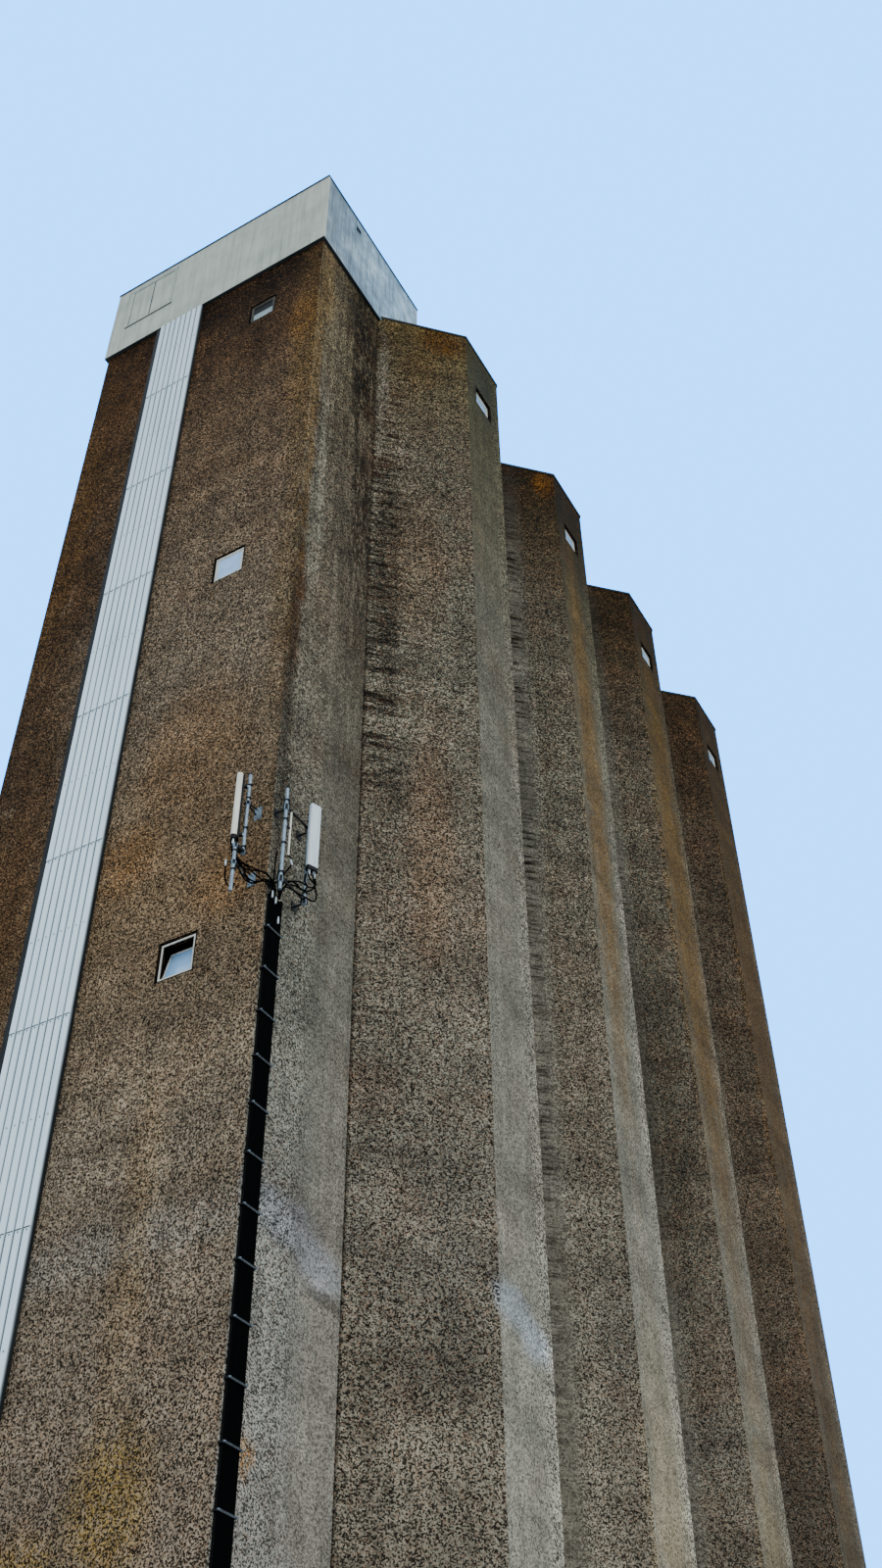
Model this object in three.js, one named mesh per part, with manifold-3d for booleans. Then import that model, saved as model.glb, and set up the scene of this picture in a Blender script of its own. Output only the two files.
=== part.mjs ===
// Concrete grain silo with a lift tower: a folded shell of four bays, a narrower tower at one
// end, a metal-clad penthouse and the aerials on the tower corner. Model at 1:2.
// Millimetres, +Z up. Origin: centre of the base slab's underside. The tower end faces -X.

import * as THREE from 'three';
import { mergeVertices } from 'three/addons/utils/BufferGeometryUtils.js';
import Module from 'manifold-3d';

const wasm = await Module();
wasm.setup();

// Driving dimensions
const BAY = 3150; // length of one folded bay
const MODULE = BAY / 3; // splay depth, splay run and width of the flat nose
const BAY_COUNT = 4;
const TOWER_DEPTH = 1590;
const HALF_WIDTH = BAY; // out to the noses of the bays
const TOWER_HALF = HALF_WIDTH - MODULE; // the tower's sides run into the first folds
const LENGTH = TOWER_DEPTH + BAY_COUNT * BAY;
const TOP = 23550; // top of the concrete
const WALL = 100;
const SLAB = 100;
const BASE = 150;
const GAP = 0.3; // left between pieces that meet

const X0 = -LENGTH / 2; // tower end face
const SIDE = -TOWER_HALF; // tower's right-hand face
const NOSE = -HALF_WIDTH; // face of the right-hand noses

// Tower windows, one above another in the end face
const TOWER_WINDOW = { width: 454, height: 472, centreY: -1055, topSill: TOP - 1475, pitch: 6111, count: 4 };
const OPEN_WINDOW = 3; // counted from the top, its sash tilts inward
const OPEN_ANGLE = THREE.MathUtils.degToRad(14);
// Bay windows, one high in each nose
const BAY_WINDOW = { width: 472, height: 425, sill: TOP - 1480 };
const SILL_ABOVE_FLOOR = 500;

// Penthouse on the tower head
const PENT = { overhang: 46, length: 2800, height: 1899, lap: 100, wall: 60, roof: 40 };
const HATCH = { y0: 898, y1: 1827, z0: TOP + 583, z1: TOP + 1717, leaf: 24 };
const VENT = { x0: X0 + 790, x1: X0 + 940, z0: TOP + 1500, z1: TOP + 1650 };

// Profiled sheet cover up the end face
const COVER = { y0: 162, y1: 983, standOff: 45, ribs: 8, ribDepth: 18, sheet: 4, bottom: 250, flank: 85 };
const COVER_LAPS = { first: TOP - 2173, pitch: 2310, overlap: 50 };

// Aerials at the tower's right-hand corner
const PIPE_R = 19;
const LADDER = {
  x0: X0 + 16, x1: X0 + 236, top: TOP - 13072, rail: 12, depth: 24,
  firstBar: 419, pitch: 487, bar: 6, barHeight: 18,
};
const CABLES = { count: 9, radius: 12 };
const AERIAL = { width: 132, depth: 62, corner: 22 };

// Solids

function solid(geometry) {
  const bare = geometry.index ? geometry.toNonIndexed() : geometry.clone();
  bare.deleteAttribute('normal');
  bare.deleteAttribute('uv');
  const merged = mergeVertices(bare, 1e-3);
  return new wasm.Manifold(new wasm.Mesh({
    numProp: 3,
    vertProperties: Float32Array.from(merged.attributes.position.array),
    triVerts: Uint32Array.from(merged.index.array),
  }));
}

function geometryOf(manifold) {
  const mesh = manifold.getMesh();
  const geometry = new THREE.BufferGeometry();
  geometry.setAttribute('position', new THREE.BufferAttribute(Float32Array.from(mesh.vertProperties), 3));
  geometry.setIndex(new THREE.BufferAttribute(Uint32Array.from(mesh.triVerts), 1));
  geometry.computeVertexNormals();
  return geometry;
}

function block(x0, x1, y0, y1, z0, z1) {
  const box = new THREE.BoxGeometry(x1 - x0, y1 - y0, z1 - z0);
  return box.translate((x0 + x1) / 2, (y0 + y1) / 2, (z0 + z1) / 2);
}

function prism(points, z0, z1) {
  const shape = new THREE.Shape(points.map(([x, y]) => new THREE.Vector2(x, y)));
  const body = new THREE.ExtrudeGeometry(shape, { depth: z1 - z0, bevelEnabled: false });
  return body.translate(0, 0, z0);
}

// A round bar between two points
function bar(from, to, radius, sides = 12) {
  const start = new THREE.Vector3(...from);
  const end = new THREE.Vector3(...to);
  const rod = new THREE.CylinderGeometry(radius, radius, start.distanceTo(end), sides);
  const along = end.clone().sub(start).normalize();
  rod.applyQuaternion(new THREE.Quaternion().setFromUnitVectors(new THREE.Vector3(0, 1, 0), along));
  return rod.translate(...start.add(end).multiplyScalar(0.5).toArray());
}

function cable(points, radius, steps) {
  const route = new THREE.CatmullRomCurve3(points.map((p) => new THREE.Vector3(...p)));
  const section = new THREE.Shape();
  const sides = 8;
  for (let i = 0; i < sides; i += 1) {
    const turn = (i / sides) * 2 * Math.PI;
    const corner = [radius * Math.cos(turn), radius * Math.sin(turn)];
    if (i === 0) section.moveTo(...corner);
    else section.lineTo(...corner);
  }
  return new THREE.ExtrudeGeometry(section, { steps, extrudePath: route, bevelEnabled: false });
}

function join(geometries) {
  return geometries.map(solid).reduce((whole, piece) => whole.add(piece));
}

function cut(geometry, holes) {
  return geometryOf(holes.reduce((left, hole) => left.subtract(solid(hole)), solid(geometry)));
}

// Plan of the shell: the outer line anticlockwise from the tower's right-hand corner

function rightSide() {
  const points = [[X0, SIDE], [X0 + TOWER_DEPTH, SIDE]];
  for (let i = 0; i < BAY_COUNT; i += 1) {
    const fold = X0 + TOWER_DEPTH + i * BAY;
    points.push([fold + MODULE, NOSE], [fold + 2 * MODULE, NOSE], [fold + BAY, SIDE]);
  }
  return points;
}

const right = rightSide();
const plan = [...right, ...right.map(([x, y]) => [x, -y]).reverse()];

// The closed line moved inward by a distance, its corners mitred
function inset(line, distance) {
  const count = line.length;
  return line.map((point, i) => {
    const before = line[(i + count - 1) % count];
    const after = line[(i + 1) % count];
    const [a, b] = [[before, point], [point, after]].map(([p, q]) => {
      const size = Math.hypot(q[0] - p[0], q[1] - p[1]);
      return [-(q[1] - p[1]) / size, (q[0] - p[0]) / size];
    });
    const reach = distance / (1 + a[0] * b[0] + a[1] * b[1]);
    return [point[0] + reach * (a[0] + b[0]), point[1] + reach * (a[1] + b[1])];
  });
}

// The wall along some corners of a closed line, with its end joints opened by the gap
function wallRun(line, corners, outer, inner, z0, z1) {
  const faces = [inset(line, outer), inset(line, inner)].map((face) => corners.map((i) => [...face[i]]));
  const ends = [[0, 1], [corners.length - 1, corners.length - 2]];
  ends.forEach(([end, next]) => {
    const [p, q] = [line[corners[end]], line[corners[next]]];
    const size = Math.hypot(q[0] - p[0], q[1] - p[1]);
    faces.forEach((face) => {
      face[end][0] += ((q[0] - p[0]) / size) * 0.7 * GAP;
      face[end][1] += ((q[1] - p[1]) / size) * 0.7 * GAP;
    });
  });
  return prism([...faces[0], ...faces[1].reverse()], z0, z1);
}

function ring(line, outer, inner, z0, z1) {
  return solid(prism(inset(line, outer), z0, z1)).subtract(solid(prism(inset(line, inner), z0 - 1, z1 + 1)));
}

// Scene graph

const silo = new THREE.Group();

const FINISH = {
  concrete: [0x6f675c, 0.95, 0],
  slab: [0x85817a, 0.95, 0],
  cladding: [0xa9afa6, 0.6, 0.2],
  flashing: [0x1d1f21, 0.6, 0.2],
  coverSheet: [0xd5dde2, 0.5, 0.3],
  windowFrame: [0xd9d8d2, 0.5, 0],
  galvanised: [0x9aa5b0, 0.45, 0.9],
  aerial: [0xdedccb, 0.5, 0],
  cable: [0x101112, 0.7, 0],
};

function add(name, geometry, finish) {
  const [color, roughness, metalness] = FINISH[finish];
  const mesh = new THREE.Mesh(geometry, new THREE.MeshStandardMaterial({ color, roughness, metalness }));
  mesh.name = name;
  silo.add(mesh);
}

// Base, floors and roof slab

const wallBottom = BASE + GAP;
const wallTop = TOP - SLAB - GAP;
const corners = plan.length;
const fold = (i) => 1 + 3 * i; // index of the fold before bay i, right-hand side
const mirrored = (i) => corners - 1 - i;

add('base_slab', prism(plan, 0, BASE), 'slab');
add('roof_slab', prism(plan, TOP - SLAB, TOP), 'slab');

function galleryFloor() {
  const top = BAY_WINDOW.sill - SILL_ABOVE_FLOOR;
  const inner = inset(plan, WALL + GAP);
  const outline = inner.filter((_, i) => i >= fold(0) && i <= mirrored(fold(0)));
  return prism(outline, top - SLAB, top);
}

add('gallery_floor', galleryFloor(), 'slab');

const windowSills = [];
for (let i = 0; i < TOWER_WINDOW.count; i += 1) {
  windowSills.push(TOWER_WINDOW.topSill - i * TOWER_WINDOW.pitch);
}

windowSills.forEach((sill, i) => {
  const inner = TOWER_HALF - WALL - GAP;
  const edge = inset(plan, WALL + GAP)[fold(0)][0] - GAP; // in line with the first fold
  const top = sill - SILL_ABOVE_FLOOR;
  const floor = block(X0 + WALL + GAP, edge, -inner, inner, top - SLAB, top);
  add(`tower_floor_${i + 1}`, floor, 'slab');
});

// Walls

const shellWall = (cornerList) => wallRun(plan, cornerList, 0, WALL, wallBottom, wallTop);
const windowSpan = TOWER_WINDOW.width / 2;

function towerWindowHole(sill) {
  const { centreY, height } = TOWER_WINDOW;
  return block(X0 - 1, X0 + WALL + 1, centreY - windowSpan, centreY + windowSpan, sill, sill + height);
}

add('tower_end_wall', cut(shellWall([corners - 1, 0]), windowSills.map(towerWindowHole)), 'concrete');
add('tower_right_wall', shellWall([0, 1]), 'concrete');
add('tower_left_wall', shellWall([corners - 2, corners - 1]), 'concrete');
add('far_end_wall', shellWall([fold(BAY_COUNT), mirrored(fold(BAY_COUNT))]), 'concrete');

// Windows: a frame with a set-back pane, seated in its hole

// A flat casement in the YZ plane with its outer face at x = 0, its lower edge at z = 0
function casement(width, height, depth, member, pane) {
  const half = width / 2;
  const outer = block(0, depth, -half, half, 0, height);
  const pocket = (x0, x1) => block(x0, x1, member - half, half - member, member, height - member);
  return cut(outer, [pocket(-1, (depth - pane) / 2), pocket((depth + pane) / 2, depth + 1)]);
}

const REVEAL = { tower: 14, bay: 42 };
const FRAME = { depth: 36, member: 26, pane: 8 };

windowSills.forEach((sill, i) => {
  const name = `tower_window_${i + 1}`;
  const width = TOWER_WINDOW.width - 2 * GAP;
  const height = TOWER_WINDOW.height - 2 * GAP;
  const { depth, member, pane } = FRAME;
  const place = (geometry) => geometry.translate(X0 + REVEAL.tower, TOWER_WINDOW.centreY, sill + GAP);
  if (i + 1 !== OPEN_WINDOW) {
    add(name, place(casement(width, height, depth, member, pane)), 'windowFrame');
    return;
  }
  const half = width / 2;
  const hole = block(-1, depth + 1, member - half, half - member, member, height - member);
  add(name, place(cut(block(0, depth, -half, half, 0, height), [hole])), 'windowFrame');
  const clear = member + GAP;
  const sash = casement(width - 2 * clear, height - 2 * clear, depth * 0.7, member * 0.8, pane);
  const inner = depth + GAP;
  const rise = member + GAP;
  add(`${name}_sash`, place(sash.rotateY(OPEN_ANGLE).translate(inner, 0, rise)), 'windowFrame');
});

['right', 'left'].forEach((hand) => {
  const sign = hand === 'right' ? 1 : -1;
  for (let i = 0; i < BAY_COUNT; i += 1) {
    const run = [0, 1, 2, 3].map((k) => fold(i) + k);
    const cornerList = sign > 0 ? run : run.map(mirrored).reverse();
    const middle = X0 + TOWER_DEPTH + i * BAY + 1.5 * MODULE;
    const span = BAY_WINDOW.width / 2;
    const faces = [sign * (NOSE - 1), sign * (NOSE + WALL + 1)].sort((a, b) => a - b);
    const top = BAY_WINDOW.sill + BAY_WINDOW.height;
    const hole = block(middle - span, middle + span, ...faces, BAY_WINDOW.sill, top);
    add(`${hand}_bay_wall_${i + 1}`, cut(shellWall(cornerList), [hole]), 'concrete');

    const size = [BAY_WINDOW.width - 2 * GAP, BAY_WINDOW.height - 2 * GAP];
    const glazed = casement(...size, FRAME.depth, FRAME.member, FRAME.pane);
    glazed.rotateZ(sign * Math.PI / 2);
    glazed.translate(middle, sign * (NOSE + REVEAL.bay), BAY_WINDOW.sill + GAP);
    add(`${hand}_bay_window_${i + 1}`, glazed, 'windowFrame');
  }
});

// Penthouse: clad walls that stand on the roof slab and lap down over the tower head

const pentX = [X0 - PENT.overhang, X0 - PENT.overhang + PENT.length];
const pentY = TOWER_HALF + PENT.overhang;
const pentPlan = [[pentX[0], -pentY], [pentX[1], -pentY], [pentX[1], pentY], [pentX[0], pentY]];
const skirtEnd = X0 + TOWER_DEPTH - 1; // the lap stops where the first fold starts
const roofTop = TOP + PENT.height;
const pentWallTop = roofTop - PENT.roof - GAP;

function pentWall(cornerList, lapped) {
  const stand = wallRun(pentPlan, cornerList, 0, PENT.wall, TOP + GAP, pentWallTop);
  if (!lapped) return solid(stand);
  const lap = wallRun(pentPlan, cornerList, 0, PENT.overhang - GAP, TOP - PENT.lap, TOP + 5);
  const beyond = block(skirtEnd, pentX[1] + 1, -pentY - 1, pentY + 1, TOP - PENT.lap - 1, TOP + GAP);
  return solid(stand).add(solid(lap).subtract(solid(beyond)));
}

const hatchHole = block(pentX[0] - 1, X0 + PENT.wall, HATCH.y0, HATCH.y1, HATCH.z0, HATCH.z1);
const ventHole = block(VENT.x0, VENT.x1, -pentY - 1, -pentY + PENT.wall + 1, VENT.z0, VENT.z1);

add('penthouse_end_wall', geometryOf(pentWall([3, 0], true).subtract(solid(hatchHole))), 'cladding');
add('penthouse_right_wall', geometryOf(pentWall([0, 1], true).subtract(solid(ventHole))), 'cladding');
add('penthouse_left_wall', geometryOf(pentWall([2, 3], true)), 'cladding');
add('penthouse_back_wall', geometryOf(pentWall([1, 2], false)), 'cladding');
add('penthouse_roof', prism(pentPlan, roofTop - PENT.roof, roofTop), 'cladding');

// Dark trims: an angle round an edge, its leg outside and its flange on top
function edgeTrim(line, level, leg, proud, flange) {
  const upright = ring(line, -proud, -GAP, level - leg, level + 6);
  return upright.add(ring(line, -proud, flange, level + GAP, level + 6));
}

add('penthouse_roof_trim', geometryOf(edgeTrim(pentPlan, roofTop, 30, 14, 60)), 'flashing');

function dripFlashing() {
  const level = TOP - PENT.lap;
  const round = ring(pentPlan, -5, PENT.overhang - GAP, level - 12, level - GAP);
  const far = block(skirtEnd, pentX[1] + 10, -pentY - 10, pentY + 10, level - 20, level + 1);
  return geometryOf(round.subtract(solid(far)));
}

add('penthouse_drip_flashing', dripFlashing(), 'flashing');

function roofCoping() {
  const trim = edgeTrim(plan, TOP, 36, 15, 80);
  const reach = pentY + GAP;
  const clear = block(X0 - 100, pentX[1] + GAP, -reach, reach, TOP - 200, TOP + 200);
  return geometryOf(trim.subtract(solid(clear)));
}

add('roof_coping', roofCoping(), 'flashing');

// Hoist hatch in the penthouse end wall: two leaves in a frame
function hatch() {
  const outer = block(pentX[0] - 8, X0 + PENT.wall - PENT.overhang, HATCH.y0 + GAP, HATCH.y1 - GAP,
    HATCH.z0 + GAP, HATCH.z1 - GAP);
  const rim = 34;
  const hole = block(pentX[0] - 20, X0 + 100, HATCH.y0 + rim, HATCH.y1 - rim, HATCH.z0 + rim, HATCH.z1 - rim);
  add('hatch_frame', cut(outer, [hole]), 'cladding');
  const middle = (HATCH.y0 + HATCH.y1) / 2;
  const face = pentX[0] + 4;
  const clear = rim + GAP;
  const leaf = (y0, y1) => block(face, face + HATCH.leaf, y0, y1, HATCH.z0 + clear, HATCH.z1 - clear);
  add('hatch_leaf_right', leaf(HATCH.y0 + clear, middle - 2), 'cladding');
  add('hatch_leaf_left', leaf(middle + 2, HATCH.y1 - clear), 'cladding');
}

hatch();

// Profiled sheet cover: lapped sheets on two dark side rails with cross battens

// Outer line of the ribs across the cover, as [offset outward, y]
function ribLine() {
  const pitch = (COVER.y1 - COVER.y0) / COVER.ribs;
  const line = [];
  for (let i = 0; i < COVER.ribs; i += 1) {
    const y = COVER.y0 + i * pitch;
    line.push([0, y], [0, y + 0.07 * pitch], [COVER.ribDepth, y + 0.15 * pitch]);
    line.push([COVER.ribDepth, y + 0.85 * pitch], [0, y + 0.93 * pitch]);
  }
  line.push([0, COVER.y1]);
  return line;
}

function coverSheets() {
  const back = X0 - COVER.standOff - GAP;
  const line = ribLine();
  const outline = [...line.map(([out, y]) => [back - COVER.sheet - out, y])];
  outline.push(...line.reverse().map(([out, y]) => [back - out, y]));
  const breaks = [TOP - PENT.lap - 30];
  for (let z = COVER_LAPS.first; z > COVER.bottom + 600; z -= COVER_LAPS.pitch) breaks.push(z);
  breaks.push(COVER.bottom);
  const sheets = [];
  for (let i = 0; i + 1 < breaks.length; i += 1) {
    const top = breaks[i] + (i === 0 ? 0 : COVER_LAPS.overlap);
    const sheet = prism(outline, breaks[i + 1], top);
    const lean = new THREE.Matrix4().makeShear(0, 0, 0, 0, 0, 0);
    lean.elements[8] = (COVER.sheet - 0.6) / (top - breaks[i + 1]); // a lower edge stands proud
    lean.elements[12] = -lean.elements[8] * top;
    sheets.push(sheet.applyMatrix4(lean));
  }
  return geometryOf(join(sheets));
}

function coverRails() {
  const z = [COVER.bottom + 5, TOP - PENT.lap - 40];
  const face = X0 - COVER.standOff;
  const rails = [
    block(face, X0 - GAP, COVER.y1 - 18, COVER.y1 + COVER.flank, ...z),
    block(face, X0 - GAP, COVER.y0 + 4, COVER.y0 + 38, ...z),
  ];
  for (let level = COVER_LAPS.first; level > COVER.bottom; level -= COVER_LAPS.pitch) {
    rails.push(block(face + 5, X0 - GAP, COVER.y0 + 10, COVER.y1 - 10, level - 20, level + 20));
  }
  return geometryOf(join(rails));
}

add('duct_cover_sheets', coverSheets(), 'coverSheet');
add('duct_cover_rails', coverRails(), 'flashing');

// Aerials, their supports and cables

const LEFT_PIPE = [X0 - 189, -1916];
const LEFT_LOW_PIPE = [X0 - 316, -1916];
const MID_PIPE = [X0 + 55, SIDE - 126];
const RIGHT_PIPE = [X0 + 470, SIDE - 126];
const ROD = { x: MID_PIPE[0] + 95, radius: 11, z: [TOP - 12545, TOP - 11965] };

// A panel aerial: rounded box, turned so that it faces the given way
function panelAerial(centre, facing, z0, z1) {
  const half = AERIAL.width / 2;
  const { depth, corner } = AERIAL;
  const shape = new THREE.Shape();
  shape.moveTo(-half, 0);
  shape.lineTo(half, 0);
  shape.lineTo(half, depth - corner);
  shape.quadraticCurveTo(half, depth, half - corner, depth);
  shape.lineTo(corner - half, depth);
  shape.quadraticCurveTo(-half, depth, -half, depth - corner);
  shape.closePath();
  const body = new THREE.ExtrudeGeometry(shape, { depth: z1 - z0, bevelEnabled: false, curveSegments: 4 });
  return body.rotateZ(facing - Math.PI / 2).translate(centre[0], centre[1], z0);
}

const leftFacing = THREE.MathUtils.degToRad(128);
const rightFacing = THREE.MathUtils.degToRad(250);
const step = (from, angle, distance) => [
  from[0] + distance * Math.cos(angle), from[1] + distance * Math.sin(angle)];

const LEFT_AERIAL = { foot: step(LEFT_PIPE, leftFacing, 82), z: [TOP - 12480, TOP - 11580] };
const RIGHT_AERIAL = { foot: step(RIGHT_PIPE, rightFacing, 70), z: [TOP - 12580, TOP - 11690] };

add('left_panel_aerial', panelAerial(LEFT_AERIAL.foot, leftFacing, ...LEFT_AERIAL.z), 'aerial');
add('right_panel_aerial', panelAerial(RIGHT_AERIAL.foot, rightFacing, ...RIGHT_AERIAL.z), 'aerial');

function upright([x, y], z0, z1, radius = PIPE_R) {
  return bar([x, y, z0], [x, y, z1], radius, 16);
}

// Two arms from a pipe to the back of its aerial
function aerialArms(pipe, aerial, facing, levels) {
  const reach = Math.hypot(aerial.foot[0] - pipe[0], aerial.foot[1] - pipe[1]) - GAP;
  return levels.map((z) => {
    const arm = block(0, reach, -17, 17, z - 15, z + 15);
    return arm.rotateZ(facing).translate(pipe[0], pipe[1], 0);
  });
}

// A wall plate with two arms that meet on a pipe in front of the end face
function vBracket([x, y], z) {
  const plate = block(X0 - 10 - GAP, X0 - GAP, y - 45, y + 45, z - 85, z + 75);
  const arms = [z + 45, z - 60].map((level) => bar([X0 - 6, y, level], [x, y, z - 8], 9, 8));
  const clamp = block(x - 26, x + 26, y - 26, y + 26, z - 26, z + 10);
  return [plate, ...arms, clamp];
}

function leftSupport() {
  const z = [TOP - 12650, TOP - 11545];
  const pieces = [upright(LEFT_PIPE, ...z), upright(LEFT_LOW_PIPE, TOP - 13200, z[0] + 60)];
  pieces.push(...vBracket(LEFT_PIPE, TOP - 11953), ...vBracket(LEFT_LOW_PIPE, TOP - 12835));
  pieces.push(block(LEFT_LOW_PIPE[0] - 24, LEFT_PIPE[0] + 24, -1942, -1890, z[0] + 10, z[0] + 50));
  const levels = [LEFT_AERIAL.z[0] + 90, LEFT_AERIAL.z[1] - 150];
  pieces.push(...aerialArms(LEFT_PIPE, LEFT_AERIAL, leftFacing, levels));
  return geometryOf(join(pieces));
}

// Two pipes with cross arms, stood off the tower's side by four short struts
function rightSupport() {
  const levels = [TOP - 12900, TOP - 11950];
  const pieces = [
    upright(MID_PIPE, TOP - 13045, TOP - 11690),
    upright(RIGHT_PIPE, TOP - 12960, TOP - 11750),
  ];
  levels.forEach((z) => {
    pieces.push(bar([...MID_PIPE, z], [...RIGHT_PIPE, z], 11, 10));
    [MID_PIPE, RIGHT_PIPE].forEach(([x, y]) => {
      pieces.push(bar([x, y, z - 40], [x, SIDE - 6, z - 40], 11, 10));
      pieces.push(block(x - 40, x + 40, SIDE - 10 - GAP, SIDE - GAP, z - 90, z + 10));
      pieces.push(block(x - 26, x + 26, y - 26, y + 26, z - 54, z + 14));
    });
  });
  const holds = [RIGHT_AERIAL.z[0] + 90, RIGHT_AERIAL.z[1] - 150];
  pieces.push(...aerialArms(RIGHT_PIPE, RIGHT_AERIAL, rightFacing, holds));
  const [x, y] = MID_PIPE;
  pieces.push(block(x, ROD.x - ROD.radius - GAP, y - 9, y + 9, TOP - 12200, TOP - 12180));
  return geometryOf(join(pieces));
}

add('left_aerial_support', leftSupport(), 'galvanised');
add('right_aerial_support', rightSupport(), 'galvanised');
add('rod_aerial', upright([ROD.x, MID_PIPE[1]], ...ROD.z, ROD.radius), 'aerial');

// Cable ladder: two rails with rungs on the wall, and clamp bars held out over the feeders
function cableLadder() {
  const face = SIDE - GAP;
  const { x0, x1, rail, depth, top, bar, barHeight } = LADDER;
  const half = barHeight / 2;
  const feederFront = face - depth - 2 * CABLES.radius - 2 * GAP;
  const barFront = feederFront - bar;
  const foot = 60;
  const overhang = 10;
  const pieces = [
    block(x0 + rail, x0 + 2 * rail, face - depth, face, foot, top),
    block(x1 - 2 * rail, x1 - rail, face - depth, face, foot, top),
  ];
  for (let z = top - LADDER.firstBar; z > foot + 50; z -= LADDER.pitch) {
    const span = [z - half, z + half];
    pieces.push(block(x0 - overhang, x1 + overhang, face - depth, face, ...span));
    pieces.push(block(x0 - overhang, x1 + overhang, barFront, feederFront, ...span));
    pieces.push(block(x0 - overhang, x0 - 1, barFront, face, ...span));
    pieces.push(block(x1 + 1, x1 + overhang, barFront, face, ...span));
  }
  return geometryOf(join(pieces));
}

const feederY = SIDE - LADDER.depth - CABLES.radius - 2 * GAP;

// Feeders side by side, as one ribbed run from the ground to the ladder's top
function feeders() {
  const { count, radius } = CABLES;
  const middle = (LADDER.x0 + LADDER.x1) / 2;
  const start = middle - (count * radius * 2) / 2;
  const y = feederY;
  const outline = [];
  const turns = 5;
  for (const side of [-1, 1]) {
    for (let i = 0; i < count; i += 1) {
      const centre = start + radius * (2 * (side < 0 ? i : count - 1 - i) + 1);
      for (let k = 0; k < turns; k += 1) {
        const angle = (k / turns) * 2.4 - 1.2;
        outline.push([centre - side * radius * Math.sin(angle), y + side * radius * Math.cos(angle)]);
      }
    }
  }
  return prism(outline, 20, LADDER.top + 20);
}

add('cable_ladder', cableLadder(), 'galvanised');
add('feeder_cables', feeders(), 'cable');

// Jumpers from the aerials' feet to the top of the ladder
const JUMPER_R = 8;
const jumperSteps = 36;
const ladderTop = LADDER.top + 20 + JUMPER_R;

function jumperFrom(aerial, facing, across, route) {
  const [x, y] = step(aerial.foot, facing, AERIAL.depth / 2);
  const [sx, sy] = step([x, y], facing + Math.PI / 2, across);
  const foot = aerial.z[0] - GAP;
  return cable([[sx, sy, foot], [sx, sy, foot - 90], ...route], JUMPER_R, jumperSteps);
}

const leftRoutes = [
  [[X0 - 255, -1950, TOP - 12790], [X0 - 190, -2060, TOP - 12880], [X0 - 70, -2155, TOP - 12925],
    [X0 + 40, feederY - 38, TOP - 12985], [X0 + 100, feederY, ladderTop]],
  [[X0 - 215, -1860, TOP - 12720], [X0 - 190, -1960, TOP - 12800], [X0 - 140, -2060, TOP - 12930],
    [X0 - 60, -2140, TOP - 13010], [X0 + 25, feederY - 22, TOP - 13022], [X0 + 60, feederY, ladderTop]],
];
const rightRoutes = [
  [[X0 + 530, -2330, TOP - 12850], [X0 + 470, -2340, TOP - 12960], [X0 + 320, -2300, TOP - 12970],
    [X0 + 170, feederY - 60, TOP - 12930], [X0 + 150, feederY, ladderTop]],
  [[X0 + 450, -2360, TOP - 12780], [X0 + 380, -2350, TOP - 12850], [X0 + 270, -2310, TOP - 12840],
    [X0 + 205, MID_PIPE[1], TOP - 12850], [X0 + 190, feederY - 20, TOP - 12940],
    [X0 + 185, feederY, ladderTop]],
];
leftRoutes.forEach((route, i) => {
  add(`left_jumper_${i + 1}`, jumperFrom(LEFT_AERIAL, leftFacing, 30 - 60 * i, route), 'cable');
});
rightRoutes.forEach((route, i) => {
  add(`right_jumper_${i + 1}`, jumperFrom(RIGHT_AERIAL, rightFacing, 30 - 60 * i, route), 'cable');
});

export default silo;
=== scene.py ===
import math
from functools import partial

import bmesh
import bpy
from mathutils import Matrix, Vector


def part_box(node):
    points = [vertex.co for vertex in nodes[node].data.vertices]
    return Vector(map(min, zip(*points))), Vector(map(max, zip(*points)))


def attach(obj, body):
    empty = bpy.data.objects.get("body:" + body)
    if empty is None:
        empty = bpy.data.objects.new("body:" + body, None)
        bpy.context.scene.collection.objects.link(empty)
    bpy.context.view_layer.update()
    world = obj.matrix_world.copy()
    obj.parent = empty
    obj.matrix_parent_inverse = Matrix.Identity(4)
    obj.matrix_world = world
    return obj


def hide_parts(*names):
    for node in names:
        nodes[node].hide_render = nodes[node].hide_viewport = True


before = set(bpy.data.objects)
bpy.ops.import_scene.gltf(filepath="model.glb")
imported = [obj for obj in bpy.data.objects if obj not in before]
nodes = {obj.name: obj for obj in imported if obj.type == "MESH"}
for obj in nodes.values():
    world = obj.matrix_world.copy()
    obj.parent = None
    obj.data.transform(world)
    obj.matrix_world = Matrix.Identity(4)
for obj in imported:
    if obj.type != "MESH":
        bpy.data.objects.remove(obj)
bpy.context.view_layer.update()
print("stage: frame loaded,", len(nodes), "nodes")


# sizes read from the frame, in metres (the silo is built at 1:2)

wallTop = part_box("roof_slab")[1].z
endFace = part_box("tower_right_wall")[0].x
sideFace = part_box("tower_right_wall")[0].y
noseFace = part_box("right_bay_wall_1")[0].y
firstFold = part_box("right_bay_wall_1")[0].x
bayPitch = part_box("right_bay_wall_2")[0].x - firstFold
bayStep = sideFace - noseFace  # depth of a splay, and its run
windowMiddle = (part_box("tower_window_1")[0].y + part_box("tower_window_1")[1].y) / 2


# small tools

def hexColor(code):  # sRGB hex to linear
    channels = [int(code[i:i + 2], 16) / 255 for i in (1, 3, 5)]
    return tuple(c / 12.92 if c <= 0.04045 else ((c + 0.055) / 1.055) ** 2.4 for c in channels) + (1.0,)


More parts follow.
